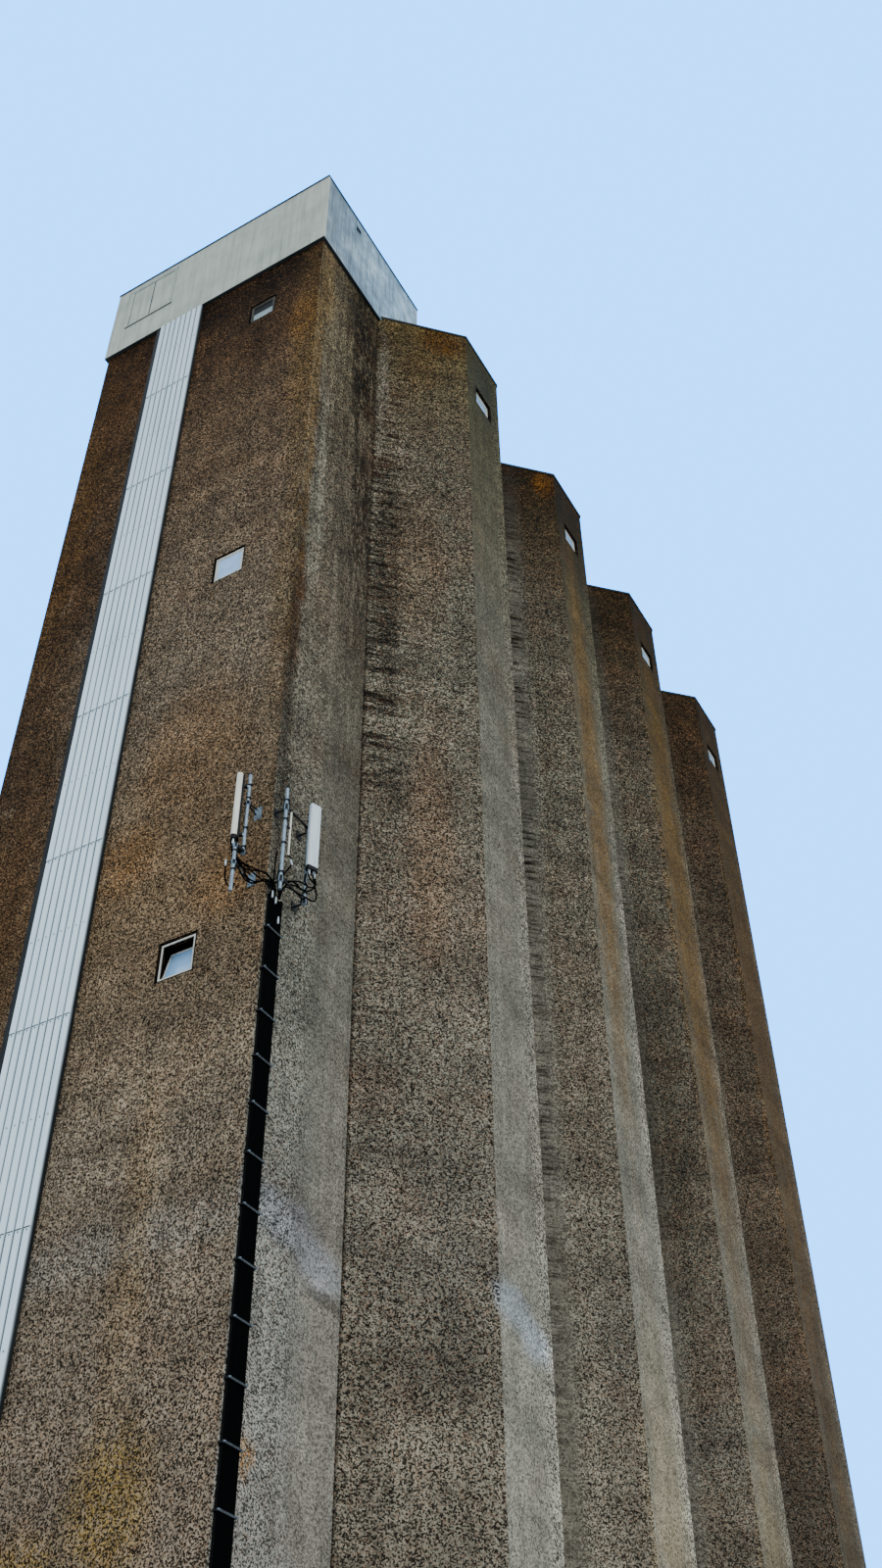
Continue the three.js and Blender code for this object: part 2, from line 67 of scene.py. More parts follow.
def feedSocket(socket, value):  # a value, a hex colour, or a link from a node
    if isinstance(value, bpy.types.Node):
        value = next(out for out in value.outputs if out.enabled)
    if isinstance(value, bpy.types.NodeSocket):
        socket.id_data.links.new(value, socket)
    else:
        socket.default_value = hexColor(value) if isinstance(value, str) else value


def addNode(tree, kind, *values, stops=(), **named):  # values fill its open sockets in turn
    kind, _, choice = kind.partition(" ")  # such as "Math ADD" or "Mix RGBA"
    node = tree.nodes.new("ShaderNode" + kind)
    if choice:
        named["data_type" if kind == "Mix" else "operation"] = choice
    for name, value in named.items():
        if name not in node.inputs:
            setattr(node, name, value)
    for number, (position, code) in enumerate(stops):
        elements = node.color_ramp.elements
        element = elements[number] if number < 2 else elements.new(position)
        element.position = position
        element.color = hexColor(code)
    openSockets = [socket for socket in node.inputs if socket.enabled]
    for socket, value in zip(openSockets, values):
        feedSocket(socket, value)
    for name, value in named.items():
        if name in node.inputs:
            feedSocket(node.inputs[name], value)
    return node


def startMaterial(name, **sockets):  # gives the material, its adder of nodes, its shader and its coordinates
    material = bpy.data.materials.new(name)
    material.use_nodes = True
    shader = material.node_tree.nodes["Principled BSDF"]
    linkShader(shader, **sockets)
    add = partial(addNode, material.node_tree)
    return material, add, shader, add("TexCoord").outputs["Object"]


def linkShader(shader, **sources):
    for key, source in sources.items():
        feedSocket(shader.inputs[key.replace("_", " ")], source)


def stretchedNoise(add, place, stretch, detail, roughness=0.5):  # grain that runs longer one way
    stretched = add("VectorMath MULTIPLY", place, stretch)
    return add("TexNoise", Vector=stretched, Scale=1, Detail=detail, Roughness=roughness)


def finishSurface(add, shader, colour, wear, roughness, relief, strength, depth, sunk=False):
    rough = add("MapRange", wear, 0.3, 0.7, *roughness)
    bump = add("Bump", Strength=strength, Distance=depth, Height=relief, invert=sunk)
    linkShader(shader, Base_Color=colour, Roughness=rough, Normal=bump)


def spanMatrix(low, high):
    low, high = Vector(low), Vector(high)
    return Matrix.Translation((low + high) / 2) @ Matrix.Diagonal((high - low).to_4d())


def addBlock(bm, low, high, turn=None):
    matrix = spanMatrix(low, high)
    matrix[3][3] = 1
    return bmesh.ops.create_cube(bm, size=1, matrix=turn @ matrix if turn else matrix)["verts"]


def pushFaces(bm, faces, vec):  # closes the way between the faces and their pushed copies
    pushed = bmesh.ops.extrude_face_region(bm, geom=faces, use_keep_orig=True)["geom"]
    bmesh.ops.translate(bm, verts=[v for v in pushed if isinstance(v, bmesh.types.BMVert)], vec=vec)


def addRing(bm, width, height, rim, back, front):  # upright frame in the XZ plane, its face at y = front
    turn = Matrix.Translation((0, back, 0)) @ Matrix.Rotation(math.pi / 2, 4, "X")
    grid = bmesh.ops.create_grid(bm, x_segments=1, y_segments=1, size=0.5,
                                 matrix=turn @ Matrix.Diagonal((width, height, 1, 1)))
    middle = grid["verts"][0].link_faces[0]
    rimFaces = bmesh.ops.inset_region(bm, faces=[middle], thickness=rim, use_boundary=True,
                                       use_even_offset=True)["faces"]
    bmesh.ops.delete(bm, geom=[middle], context="FACES")
    pushFaces(bm, rimFaces, (0, front - back, 0))


def addRod(bm, start, end, radius, sides=8, tip=None):
    start, end = Vector(start), Vector(end)
    axis = end - start
    matrix = Matrix.Translation((start + end) / 2) @ axis.to_track_quat("Z", "Y").to_matrix().to_4x4()
    bmesh.ops.create_cone(bm, cap_ends=True, segments=sides, radius1=radius,
                          radius2=radius if tip is None else tip, depth=axis.length, matrix=matrix)


def bevelEdges(bm, edges, width, segments, clamp=False):
    bmesh.ops.bevel(bm, geom=edges, offset=width, offset_type="OFFSET", segments=segments,
                    profile=0.5, affect="EDGES", material=-1, clamp_overlap=clamp)


def roundEdges(bm, width, segments=2, sharpest=0.6):  # edges that turn by more than sharpest, in radians
    edges = [e for e in bm.edges if e.is_manifold and e.calc_face_angle() > sharpest]
    bevelEdges(bm, edges, width, segments, True)


def makePiece(name, bm, material, standsFor=(), smoothAngle=None, edge=None):
    if edge:
        roundEdges(bm, edge, 1)
    bmesh.ops.recalc_face_normals(bm, faces=bm.faces)
    mesh = bpy.data.meshes.new(name)
    bm.to_mesh(mesh)
    bm.free()
    if smoothAngle:
        mesh.shade_smooth()
        mesh.set_sharp_from_angle(angle=smoothAngle)
    mesh.materials.append(material)
    piece = bpy.data.objects.new(name, mesh)
    bpy.context.scene.collection.objects.link(piece)
    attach(piece, "root")
    if standsFor:
        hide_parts(*standsFor)
    return piece


def dress(names, material):  # a CAD node keeps its mesh and takes a finish
    for name in names:
        mesh = nodes[name].data
        mesh.materials.clear()
        mesh.materials.append(material)


# camera, light and floor

cameraSet = {
    "place": (-16.591, -9.472, 0.801),
    "yaw": 29.55, "pitch": 43.02, "roll": -0.63,  # degrees
    "lens": 35.83, "sensor": 36.0,  # the sensor's long side stands upright
}


def buildCamera():
    yaw, pitch, roll = (math.radians(cameraSet[key]) for key in ("yaw", "pitch", "roll"))
    ahead = Vector((math.cos(pitch) * math.cos(yaw), math.cos(pitch) * math.sin(yaw), math.sin(pitch)))
    level = Vector((math.sin(yaw), -math.cos(yaw), 0))
    upright = level.cross(ahead)
    right = level * math.cos(roll) + upright * math.sin(roll)
    up = upright * math.cos(roll) - level * math.sin(roll)
    camera = bpy.data.cameras.new("camera")
    camera.lens = cameraSet["lens"]
    camera.sensor_fit = "AUTO"
    camera.sensor_width = cameraSet["sensor"]
    camera.clip_end = 500
    turned = Matrix((right, up, -ahead)).transposed().to_4x4()
    holder = bpy.data.objects.new("camera", camera)
    holder.matrix_world = Matrix.Translation(cameraSet["place"]) @ turned
    bpy.context.scene.collection.objects.link(holder)
    bpy.context.scene.camera = holder


lightSet = {
    "sky": "#d3e2f2", "skyStrength": 1.45,  # what lights the silo
    "backdrop": "#3a9dff", "backdropStrength": 6.2,  # what the camera sees behind it
    "key": "#fff6ea", "keyStrength": 1.25, "keySize": 60,  # a wide, soft source
    "keyFrom": (-0.45, -0.85, 0.75),
    "floor": "#d9d8d4", "floorSize": 160,
}


def buildLight():
    world = bpy.data.worlds.new("studio")
    world.use_nodes = True
    add, ends = partial(addNode, world.node_tree), world.node_tree.nodes
    sky, backdrop = (add("Background", Color=lightSet[key], Strength=lightSet[key + "Strength"])
                     for key in ("sky", "backdrop"))
    both = add("MixShader", add("LightPath").outputs["Is Camera Ray"], sky, backdrop)
    feedSocket(ends["World Output"].inputs["Surface"], both)
    ends.remove(ends["Background"])
    bpy.context.scene.world = world
    lamp = bpy.data.lights.new("key", "SUN")
    lamp.energy = lightSet["keyStrength"]
    lamp.color = hexColor(lightSet["key"])[:3]
    lamp.angle = math.radians(lightSet["keySize"])
    holder = bpy.data.objects.new("key", lamp)
    holder.rotation_euler = Vector(lightSet["keyFrom"]).to_track_quat("Z", "Y").to_euler()
    bpy.context.scene.collection.objects.link(holder)


def buildFloor():
    material = bpy.data.materials.new("paleFloor")
    material.use_nodes = True
    linkShader(material.node_tree.nodes["Principled BSDF"], Base_Color=lightSet["floor"], Roughness=0.9)
    bm = bmesh.new()
    bmesh.ops.create_grid(bm, x_segments=1, y_segments=1, size=lightSet["floorSize"] / 2)
    mesh = bpy.data.meshes.new("studio_floor")
    bm.to_mesh(mesh)
    bm.free()
    mesh.materials.append(material)
    floor = bpy.data.objects.new("studio_floor", mesh)
    bpy.context.scene.collection.objects.link(floor)


buildCamera()
buildLight()
buildFloor()
print("stage: camera, light and floor")


# concrete: washed so that its pebbles stand out, with smooth bands where the forms slid

concreteSet = {
    "pebble": 0.013,  # 25 mm gravel at half size
    "pebbleDark": 0.15, "pebbleLight": 2.45,
    "knot": 0.019,  # knots of like pebbles, which still show high up
    "knotDark": 0.32, "knotLight": 1.83,
    "knotLevels": (5, 18, 0.1, 1.0),  # from, to, and the knots' share at each
    "grit": 0.005,
    "brush": (7, 7, 0.42),  # marks along the slide of the forms
    "lift": (0.3, 0.3, 1.7),  # level bands, one for each lift of the forms
    "patch": 0.9,  # about a metre from one weathered patch to the next
    "wander": 0.3,  # how far a stain's edge strays
    "relief": 0.006, "rough": (0.78, 0.95),
    "tones": {"shade": (0.8, 1.2), "brush": (0.78, 1.22), "lift": (0.78, 1.22)},  # darkest and lightest
    "patchSpan": (0.5, 0.72),  # the warm patches' edges
    "pits": (0.08, 0.14, -0.9, 0.0),  # painted shade: a few knots are darkened, as the shade in holes
    "rust": (0.74, 0.9, 0.0, 0.4),  # and some are rusty
    "revealShade": "#0b0a08",  # painted shade: the sides of a window's opening are made near black
}


def heightTone(add, height, tones):
    share = add("Math DIVIDE", height, wallTop)
    return add("ValToRGB", share, stops=[(level / wallTop, code) for level, code in tones])


def stainMask(add, place, centre, reach, strength):
    away = add("VectorMath SUBTRACT", place, centre)
    scaled = add("VectorMath DIVIDE", away, reach)
    length = add("VectorMath LENGTH", scaled)
    return add("MapRange", length, 0.3, 1.0, strength, 0.0, interpolation_type="SMOOTHSTEP")


def blendStains(add, place, tone, stains, breakup=None):
    for centre, reach, code, strength in stains:
        mask = stainMask(add, place, centre, reach, strength)
        if breakup:
            mask = add("Math MULTIPLY", mask, breakup)
        tone = add("Mix RGBA", mask, tone, code)
    return tone


def wanderedPlace(add, place):
    drift = add("TexNoise", Vector=place, Scale=2.6, Detail=6, Roughness=0.65)
    centred = add("VectorMath SUBTRACT", drift.outputs["Color"], (0.5, 0.5, 0.5))
    scaled = add("VectorMath SCALE", centred, concreteSet["wander"])
    return add("VectorMath ADD", place, scaled)


def surfaceField(add, place, height):  # the patterns that every wall shares
    return {
        "pebble": add("TexVoronoi", Vector=place, Scale=1 / concreteSet["pebble"]),
        "knot": add("TexVoronoi", Vector=place, Scale=1 / concreteSet["knot"]),
        "knotShare": add("MapRange", height, *concreteSet["knotLevels"]),
        "brush": stretchedNoise(add, place, concreteSet["brush"], 7, 0.72),
        "lift": stretchedNoise(add, place, concreteSet["lift"], 5, 0.55),
        "shade": add("TexNoise", Vector=place, Scale=2.3, Detail=7, Roughness=0.62),
        "patch": add("TexNoise", Vector=place, Scale=1 / concreteSet["patch"], Detail=5, Roughness=0.6),
    }


def finishConcrete(add, shader, place, field, tone, grainShare, warmPatch, patchShare):
    warmth = add("MapRange", field["patch"], *concreteSet["patchSpan"], 0.0, patchShare)
    warmed = add("Mix RGBA", warmth, tone, warmPatch)
    level = None
    for source, span in concreteSet["tones"].items():
        spread = add("MapRange", field[source], 0.32, 0.68, *span)
        level = add("Math MULTIPLY", level, spread) if level else spread
    knotShare = add("Math MULTIPLY", field["knotShare"], grainShare)
    for source, share in (("pebble", grainShare), ("knot", knotShare)):
        chance = add("SeparateXYZ", field[source].outputs["Color"])
        span = concreteSet[source + "Dark"], concreteSet[source + "Light"]
        fromMean = add("Math SUBTRACT", add("MapRange", chance, 0.25, 0.75, *span), 1.0)
        grained = add("Math MULTIPLY_ADD", fromMean, share, 1.0)
        level = add("Math MULTIPLY", level, grained)
    pits, rust = (add("MapRange", chance.outputs["Y"], *concreteSet[key]) for key in ("pits", "rust"))
    smoothness = add("Math SUBTRACT", 1.0, grainShare)
    # painted shade in holes, where the face is smooth
    level = add("Math MULTIPLY", level, add("Math MULTIPLY_ADD", pits, smoothness, 1.0))
    rusty = add("Math MULTIPLY", rust, grainShare)
    tinted = add("Mix RGBA", rusty, warmed, warmPatch)
    colour = add("VectorMath SCALE", tinted, level)
    grit = add("TexNoise", Vector=place, Scale=1 / concreteSet["grit"], Detail=2)
    swell = add("Math MULTIPLY", field["pebble"], grainShare)
    relief = add("Math MULTIPLY_ADD", grit, 0.25, swell)
    finishSurface(add, shader, colour, field["shade"], concreteSet["rough"], relief, 0.5,
                  concreteSet["relief"], sunk=True)


towerSet = {
    # height in metres and colour, from the ground up
    "end": [(0.5, "#5f5445"), (5, "#5e5345"), (8, "#625849"), (11, "#5b4b37"), (14, "#564c3e"),
            (19.2, "#483b2c"), (21.6, "#342618"), (23.4, "#1f1307")],
    "side": [(0.5, "#6f6d66"), (6, "#6b6961"), (10, "#5a594f"), (15, "#504a3e"), (18.5, "#474135"),
             (21.4, "#464030"), (23.5, "#3a3424")],
    "speckleEnd": (-6.4, -6.15),  # x where the washed face turns smooth
    # the next two: from and to in height, and a share at each
    "brushed": (12, 19, 0.0, 0.45),  # upright marks on the long side
    "washed": (12, 19, 0.4, 0.9),  # its grain
    "strokes": (26, 26, 9), "strokeSpan": (0.8, 1.2),  # short upright marks
    "algaeGrain": (4.5, 4.5, 0.8), "algaeEdge": (0.975, 1.01),  # a narrow span gives it hard edges
    "lichenShare": (0.3, 0.7, 0.25, 1.0),  # it takes whole knots
    "warmPatch": ("#5a3f28", 0.22),  # colour and share of the warm patches
    "revealShade": (0.057, 0.055, 0.3),  # a window opening's middle and half its depth, and half its width, where the sides get painted shade
}


# marks: where each lies, how far it reaches across and up, its colour and its strength
def endMark(y, z, reach, rise, code, strength):
    return (endFace, y, z), (0.1, reach, rise), code, strength


def sideMark(x, z, reach, rise, code, strength):
    return (x, sideFace, z), (reach, 0.1, rise), code, strength


def splayMark(bay, along, z, reach, rise, code, strength):
    return (firstFold + bay * bayPitch + along, sideFace - along, z), (reach, reach, rise), code, strength


def noseMark(bay, along, z, reach, rise, code, strength):
    return (firstFold + bay * bayPitch + along, noseFace, z), (reach, 0.1, rise), code, strength


towerStains = [
    endMark(1.75, 15.0, 1.3, 15.0, "#2c1b08", 0.78),
    endMark(-0.5, 23.4, 2.8, 1.3, "#0b0602", 0.8),
    endMark(-0.6, 7.1, 2.6, 0.4, "#66625a", 0.45),
    endMark(0.6, 15.5, 1.2, 2.2, "#4c4437", 0.4),
    endMark(-1.05, 21.3, 0.35, 0.9, "#1c130a", 0.6),  # dirt below the top window
    sideMark(-5.75, 5.0, 0.6, 8.0, "#7f786b", 0.5),
    sideMark(-6.75, 17.5, 0.3, 3.5, "#5d5a4e", 0.55),
    sideMark(-7.0, 14.6, 0.2, 4.4, "#1d1b15", 0.7),
    sideMark(-6.45, 7.3, 0.9, 0.36, "#73777b", 0.5),
    sideMark(-5.85, 7.06, 0.6, 0.34, "#757a80", 0.45),
    sideMark(-5.75, 6.8, 0.5, 0.12, "#23221e", 0.6),
    sideMark(-6.55, 22.4, 0.5, 1.8, "#4b4536", 0.4),
]
towerAlgae = [
    sideMark(-5.72, 19.4, 0.75, 6.6, "#070603", 0.85),
    sideMark(-5.85, 22.4, 0.55, 3.0, "#050402", 1.0),
    sideMark(-7.0, 15.2, 0.22, 2.6, "#14120d", 0.8),
    # a dark upright mark by the corner, between the aerials
    sideMark(-6.95, 12.0, 0.2, 1.6, "#14120d", 0.6),
    endMark(1.9, 18.0, 1.0, 6.0, "#140d06", 0.45),
]
towerLichen = [
    endMark(-1.95, 20.6, 0.4, 4.0, "#554220", 0.6),
    ((endFace, -1.85, 21.4), (0.14, 0.42, 0.8), "#63431a", 0.5),
    endMark(-1.98, 15.5, 0.28, 3.6, "#4e3f20", 0.5),
    sideMark(-6.93, 15.3, 0.12, 1.3, "#4a2c14", 0.45),
    endMark(1.95, 19.0, 0.5, 5.0, "#4a3212", 0.5),
    endMark(-0.2, 11.7, 0.6, 0.7, "#6e4a22", 0.55),
    endMark(-1.58, 10.8, 0.6, 0.6, "#6e4a22", 0.5),
    endMark(-0.9, 13.0, 1.1, 1.6, "#674724", 0.45),
    endMark(-1.0, 7.0, 0.3, 2.2, "#6d5226", 0.35),
    endMark(-1.1, 4.9, 0.6, 0.9, "#6f571a", 0.65),
    endMark(-0.3, 4.5, 0.5, 0.5, "#6f571a", 0.6),
    sideMark(-6.75, 5.2, 0.16, 0.3, "#7c5520", 0.8),
    sideMark(-6.98, 19.0, 0.16, 5.0, "#5c4216", 0.6),
    sideMark(-6.85, 22.3, 0.3, 1.4, "#5a4520", 0.6),
]


def makeTowerConcrete():  # slip-formed and washed out: matt brown gravel, smooth where the forms rubbed it
    material, add, shader, place = startMaterial("washedTowerConcrete", Specular_IOR_Level=0.05)
    wandered = wanderedPlace(add, place)
    split = add("SeparateXYZ", wandered)
    height = split.outputs["Z"]
    field = surfaceField(add, place, height)
    facing = add("SeparateXYZ", place.node.outputs["Normal"])
    sideways = add("Math ABSOLUTE", facing.outputs["Y"])
    tone = add("Mix RGBA", sideways, *(heightTone(add, height, towerSet[face]) for face in ("end", "side")))
    tone = blendStains(add, wandered, tone, towerStains)
    brushed = add("Math MULTIPLY", add("MapRange", height, *towerSet["brushed"]), sideways)
    strokes = stretchedNoise(add, place, towerSet["strokes"], 4, 0.6)
    both = add("Math ADD", field["brush"], strokes)
    streak = add("MapRange", both, *towerSet["strokeSpan"], -1.0, 1.0)
    tone = add("VectorMath SCALE", tone, add("Math MULTIPLY_ADD", streak, brushed, 1.0))
    growth = add("Math ADD", strokes, stretchedNoise(add, place, towerSet["algaeGrain"], 9, 0.78))
    blotch = add("MapRange", growth, *towerSet["algaeEdge"], 0.0, 1.0)
    tone = blendStains(add, wandered, tone, towerAlgae, blotch)
    chance = add("SeparateXYZ", field["knot"].outputs["Color"]).outputs["Z"]
    tone = blendStains(add, wandered, tone, towerLichen, add("MapRange", chance, *towerSet["lichenShare"]))
    # painted shade: the sides of each window opening in the end face are made near black
    spot = add("SeparateXYZ", place)
    middle, halfDepth, halfWidth = towerSet["revealShade"]
    inside = add("Math COMPARE", spot.outputs["X"], endFace + middle, halfDepth)
    across = add("Math ABSOLUTE", add("Math SUBTRACT", spot.outputs["Y"], windowMiddle))
    revealShade = add("Math MULTIPLY", inside, add("Math LESS_THAN", across, halfWidth))
    tone = add("Mix RGBA", revealShade, tone, concreteSet["revealShade"])
    washed = add("MapRange", height, *towerSet["washed"])
    smooth = add("MapRange", split.outputs["X"], *towerSet["speckleEnd"], 0.9, washed)
    grainShare = add("Mix", sideways, 1.0, smooth)
    finishConcrete(add, shader, place, field, tone, grainShare, *towerSet["warmPatch"])
    return material


baySet = {
    "splay": [(0.5, "#605a4d"), (6.8, "#5a5448"), (7.5, "#545046"), (12, "#534d41"), (16, "#4a473c"),
              (20, "#454034"), (23.4, "#3d341c")],
    "nose": [(0.5, "#827f74"), (5.7, "#7d7a6d"), (9.2, "#706d61"), (16.2, "#575448"), (20, "#484534"),
             (23.2, "#31301f")],
    "runs": (1.5, 1.5, 15),  # water marks that lie level across the splays
    "runTones": ((0.5, 0.56, 1.0, "darkRun"), (0.49, 0.4, 0.45, "paleRun")),
    # the dark colour serves both the dark water marks and the painted shade in each fold
    "darkRun": "#12100b", "paleRun": "#6f6959",
    "rinse": "#6d6b60",  # the greyer strip beside each further fold
    "farTop": "#0f0903", "far": "#271d12",  # the further bays are browner, and near black under the roof
    "furtherRuns": 0.75,  # the water marks' least share there
    # from, to and the share at each: these by height
    "runRise": (12.5, 14.5, 0.25, 1.0), "runEase": (21.0, 23.0, 1.0, 0.4),
    "underRoof": (18.5, 23.3, 0.0, 0.88),
    # and these by metres from a fold
    "runReach": (0.16, 0.56, 1.0, 0.06), "furtherReach": (0.44, 0.56, 1.0, 0.0),
    "rinseReach": (0.46, 0.62, 0.6, 0.0), "rubbedReach": (0.46, 0.6, 0.3, 1.0),
    "creaseShade": (0.006, 0.03, 0.8, 0.0),  # painted shade: a thin dark line along each fold
    "noseEdge": (0.75, 0.91, 0.4, 0.95),  # the 1.05 m nose is washed along its far edge alone
    "farSpan": (1.9, 3.2, 0.0, 0.58),  # in bays from the first fold
    "lichenShare": (0.3, 0.7, 0.45, 1.0),
    "warmPatch": ("#543722", 0.2),
}
bayStains = [
    splayMark(0, 0.2, 17.2, 0.3, 3.6, "#15120c", 0.55),
    splayMark(0, 0.08, 21.4, 0.13, 2.5, "#4f4b40", 0.75),
    splayMark(0, 0.6, 6.7, 1.0, 0.9, "#2b2a26", 0.42),
    splayMark(1, 0.55, 5.0, 0.6, 5.5, "#777162", 0.45),
    splayMark(2, 0.6, 12.5, 0.8, 5.5, "#24261f", 0.55),
    noseMark(1, 1.5, 4.5, 0.8, 5.5, "#8c7f62", 0.6),
    noseMark(2, 1.5, 4.5, 0.8, 6.5, "#7a6d52", 0.75),
    noseMark(3, 1.5, 4.5, 0.8, 7.0, "#6a5c42", 0.75),
    splayMark(0, 0.25, 8.1, 0.35, 0.5, "#6d675a", 0.45),
    splayMark(1, 0.16, 6.8, 0.16, 0.5, "#22201b", 0.7),
    splayMark(1, 0.4, 15.8, 0.25, 1.3, "#56534a", 0.5),
    noseMark(0, 1.3, 7.15, 0.5, 0.3, "#8f969b", 0.6),
    noseMark(0, 1.75, 6.95, 0.5, 0.28, "#8f969b", 0.6),
    noseMark(0, 1.6, 22.6, 0.7, 1.2, "#2b2d27", 0.6),
]
bayLichen = [
    splayMark(0, 0.75, 23.2, 0.5, 0.6, "#3e2401", 1.0),
    splayMark(0, 0.5, 22.4, 0.5, 1.0, "#46361c", 0.5),
    splayMark(1, 0.9, 23.2, 0.3, 0.5, "#4a2c05", 0.8),
    noseMark(1, 1.45, 16.0, 0.5, 8.0, "#5f451c", 0.85),
    noseMark(2, 1.5, 16.0, 0.75, 9.0, "#573e11", 0.88),
    noseMark(3, 1.5, 15.0, 0.8, 11.0, "#483210", 0.75),
    splayMark(0, 0.6, 12.5, 0.4, 2.4, "#6a4524", 0.27),
    splayMark(0, 0.5, 17.5, 0.5, 2.4, "#57402a", 0.35),
]


def makeBayConcrete():  # the same gravel on the splays, the noses rubbed smooth and paler
    material, add, shader, place = startMaterial("washedBayConcrete", Specular_IOR_Level=0.05)
    wandered = wanderedPlace(add, place)
    height = add("SeparateXYZ", wandered).outputs["Z"]
    field = surfaceField(add, place, height)
    x = add("SeparateXYZ", place).outputs["X"]
    facing = add("SeparateXYZ", place.node.outputs["Normal"])
    sideways = add("Math ABSOLUTE", facing.outputs["Y"])
    nose = add("MapRange", sideways, 0.8, 0.95)
    tone = add("Mix RGBA", nose, *(heightTone(add, height, baySet[face]) for face in ("splay", "nose")))
    secondFold = firstFold + bayPitch
    further = add("MapRange", x, secondFold - 0.05, secondFold + 0.05)
    along = add("Math FLOORED_MODULO", add("Math SUBTRACT", x, firstFold), bayPitch)
    runs = stretchedNoise(add, place, baySet["runs"], 9, 0.74)
    rise, ease, under = (add("MapRange", height, *baySet[key]) for key in ("runRise", "runEase", "underRoof"))
    beside, rinse, rubbed, creaseShade = (add("MapRange", along, *baySet[key]) for key in
                                     ("furtherReach", "rinseReach", "rubbedReach", "creaseShade"))
    nearFold = add("MapRange", along, *baySet["runReach"], interpolation_type="SMOOTHSTEP")
    lower = add("Math MULTIPLY", further, baySet["furtherRuns"])
    runLevel = add("Math MAXIMUM", add("Math MULTIPLY", rise, ease), lower)
    reach = add("Mix", further, nearFold, beside)
    tone = add("Mix RGBA", add("Math MULTIPLY", rinse, further), tone, baySet["rinse"])
    for low, high, share, code in baySet["runTones"]:
        mask = add("Math MULTIPLY", add("MapRange", runs, low, high, 0.0, share), reach)
        tone = add("Mix RGBA", add("Math MULTIPLY", mask, runLevel), tone, baySet[code])
    tone = blendStains(add, wandered, tone, bayStains)
    # painted shade: a thin dark line in each fold
    tone = add("Mix RGBA", creaseShade, tone, baySet["darkRun"])
    tone = add("Mix RGBA", add("Math MULTIPLY", under, further), tone, baySet["farTop"])
    start, end, least, most = baySet["farSpan"]
    far = add("MapRange", x, firstFold + start * bayPitch, firstFold + end * bayPitch, least, most)
    tone = add("Mix RGBA", far, tone, baySet["far"])
    chance = add("SeparateXYZ", field["knot"].outputs["Color"]).outputs["Z"]
    tone = blendStains(add, wandered, tone, bayLichen, add("MapRange", chance, *baySet["lichenShare"]))
    opening = add("Math LESS_THAN", sideways, 0.3)  # a window opening's sides, which get painted shade
    tone = add("Mix RGBA", opening, tone, concreteSet["revealShade"])
    edge, full, least, most = baySet["noseEdge"]
    noseGrain = add("MapRange", along, bayStep + edge, bayStep + full, least, most)
    splayGrain = add("Mix", further, 1.0, rubbed)
    grainShare = add("Mix", nose, splayGrain, noseGrain)
    finishConcrete(add, shader, place, field, tone, grainShare, *baySet["warmPatch"])
    return material


def makeCastConcrete():  # floated slabs: plain grey, faint trowel sweeps and air holes
    material, add, shader, place = startMaterial("floatedConcrete", Specular_IOR_Level=0.3)
    cloud = add("TexNoise", Vector=place, Scale=1.6, Detail=8, Roughness=0.6)
    tone = add("ValToRGB", cloud, stops=[(0.3, "#5e5b54"), (0.5, "#75726a"), (0.72, "#8b8880")])
    holes = add("TexVoronoi", Vector=place, Scale=60)
    pit = add("MapRange", holes, 0.0, 0.25)
    finishSurface(add, shader, tone, cloud, (0.7, 0.92), pit, 0.4, 0.003)
    return material


# painted and coated metal

cableSet = {
    "count": 9, "radius": 0.012, "sway": 0.0006, "step": 0.12, "clampPitch": 0.487, "firstClamp": 10.059,
    "lead": 0.0085, "plug": 0.0095, "stagger": 0.018,
    "brightPlugs": ((-7.05, 10.455), (-6.99, 10.42), (-6.925, 10.215)),  # x and z
}
pipes = {  # x from the end face, y, top of the cap, and heights of the straps
    "left": (-0.189, -1.916, 12.005, (11.84, 11.66, 11.25, 11.0)),
    "low": (-0.316, -1.916, None, (10.86, 10.62)),
    "mid": (0.055, -2.226, 11.860, (11.68, 11.42, 11.1, 10.72)),
    "right": (0.470, -2.226, 11.800, (11.7, 11.1, 10.74)),
}
fixingSet = {
    "bare": 0.027, "cap": 0.021, "band": 0.025, "bolt": 0.008,
    "plates": (11.953, 12.835),  # of the brackets on the wall, below its top
}


# coil-coated steel: satin and rain-streaked; shadeAlong makes it darker, in blots, from one end to the other
def makeCoatedSheet(name, tones, streak, share, roughness, gloss=0.45, shadeAlong=None):
    material, add, shader, place = startMaterial(name, Specular_IOR_Level=gloss)
    cloud = add("TexNoise", Vector=place, Scale=2.2, Detail=6, Roughness=0.6)
    tone = add("ValToRGB", cloud, stops=zip((0.32, 0.5, 0.7), tones))
    run = stretchedNoise(add, place, (14, 14, 0.7), 6, 0.65)
    runMask = add("MapRange", run, 0.46, 0.7, 0.0, share)
    streaked = add("Mix RGBA", runMask, tone, streak)
    if shadeAlong:
        along = add("SeparateXYZ", place)
        blot = add("TexNoise", Vector=place, Scale=6, Detail=6, Roughness=0.7)
        shade = add("MapRange", along, *shadeAlong)
        blotLevel = add("MapRange", blot, 0.36, 0.64, 0.72, 1.28)
        shade = add("Math MULTIPLY", shade, blotLevel)
        streaked = add("VectorMath SCALE", streaked, shade)
    orange = add("TexNoise", Vector=place, Scale=9, Detail=3)
    finishSurface(add, shader, streaked, run, (roughness - 0.08, roughness + 0.12), orange, 0.5, 0.0012)
    return material


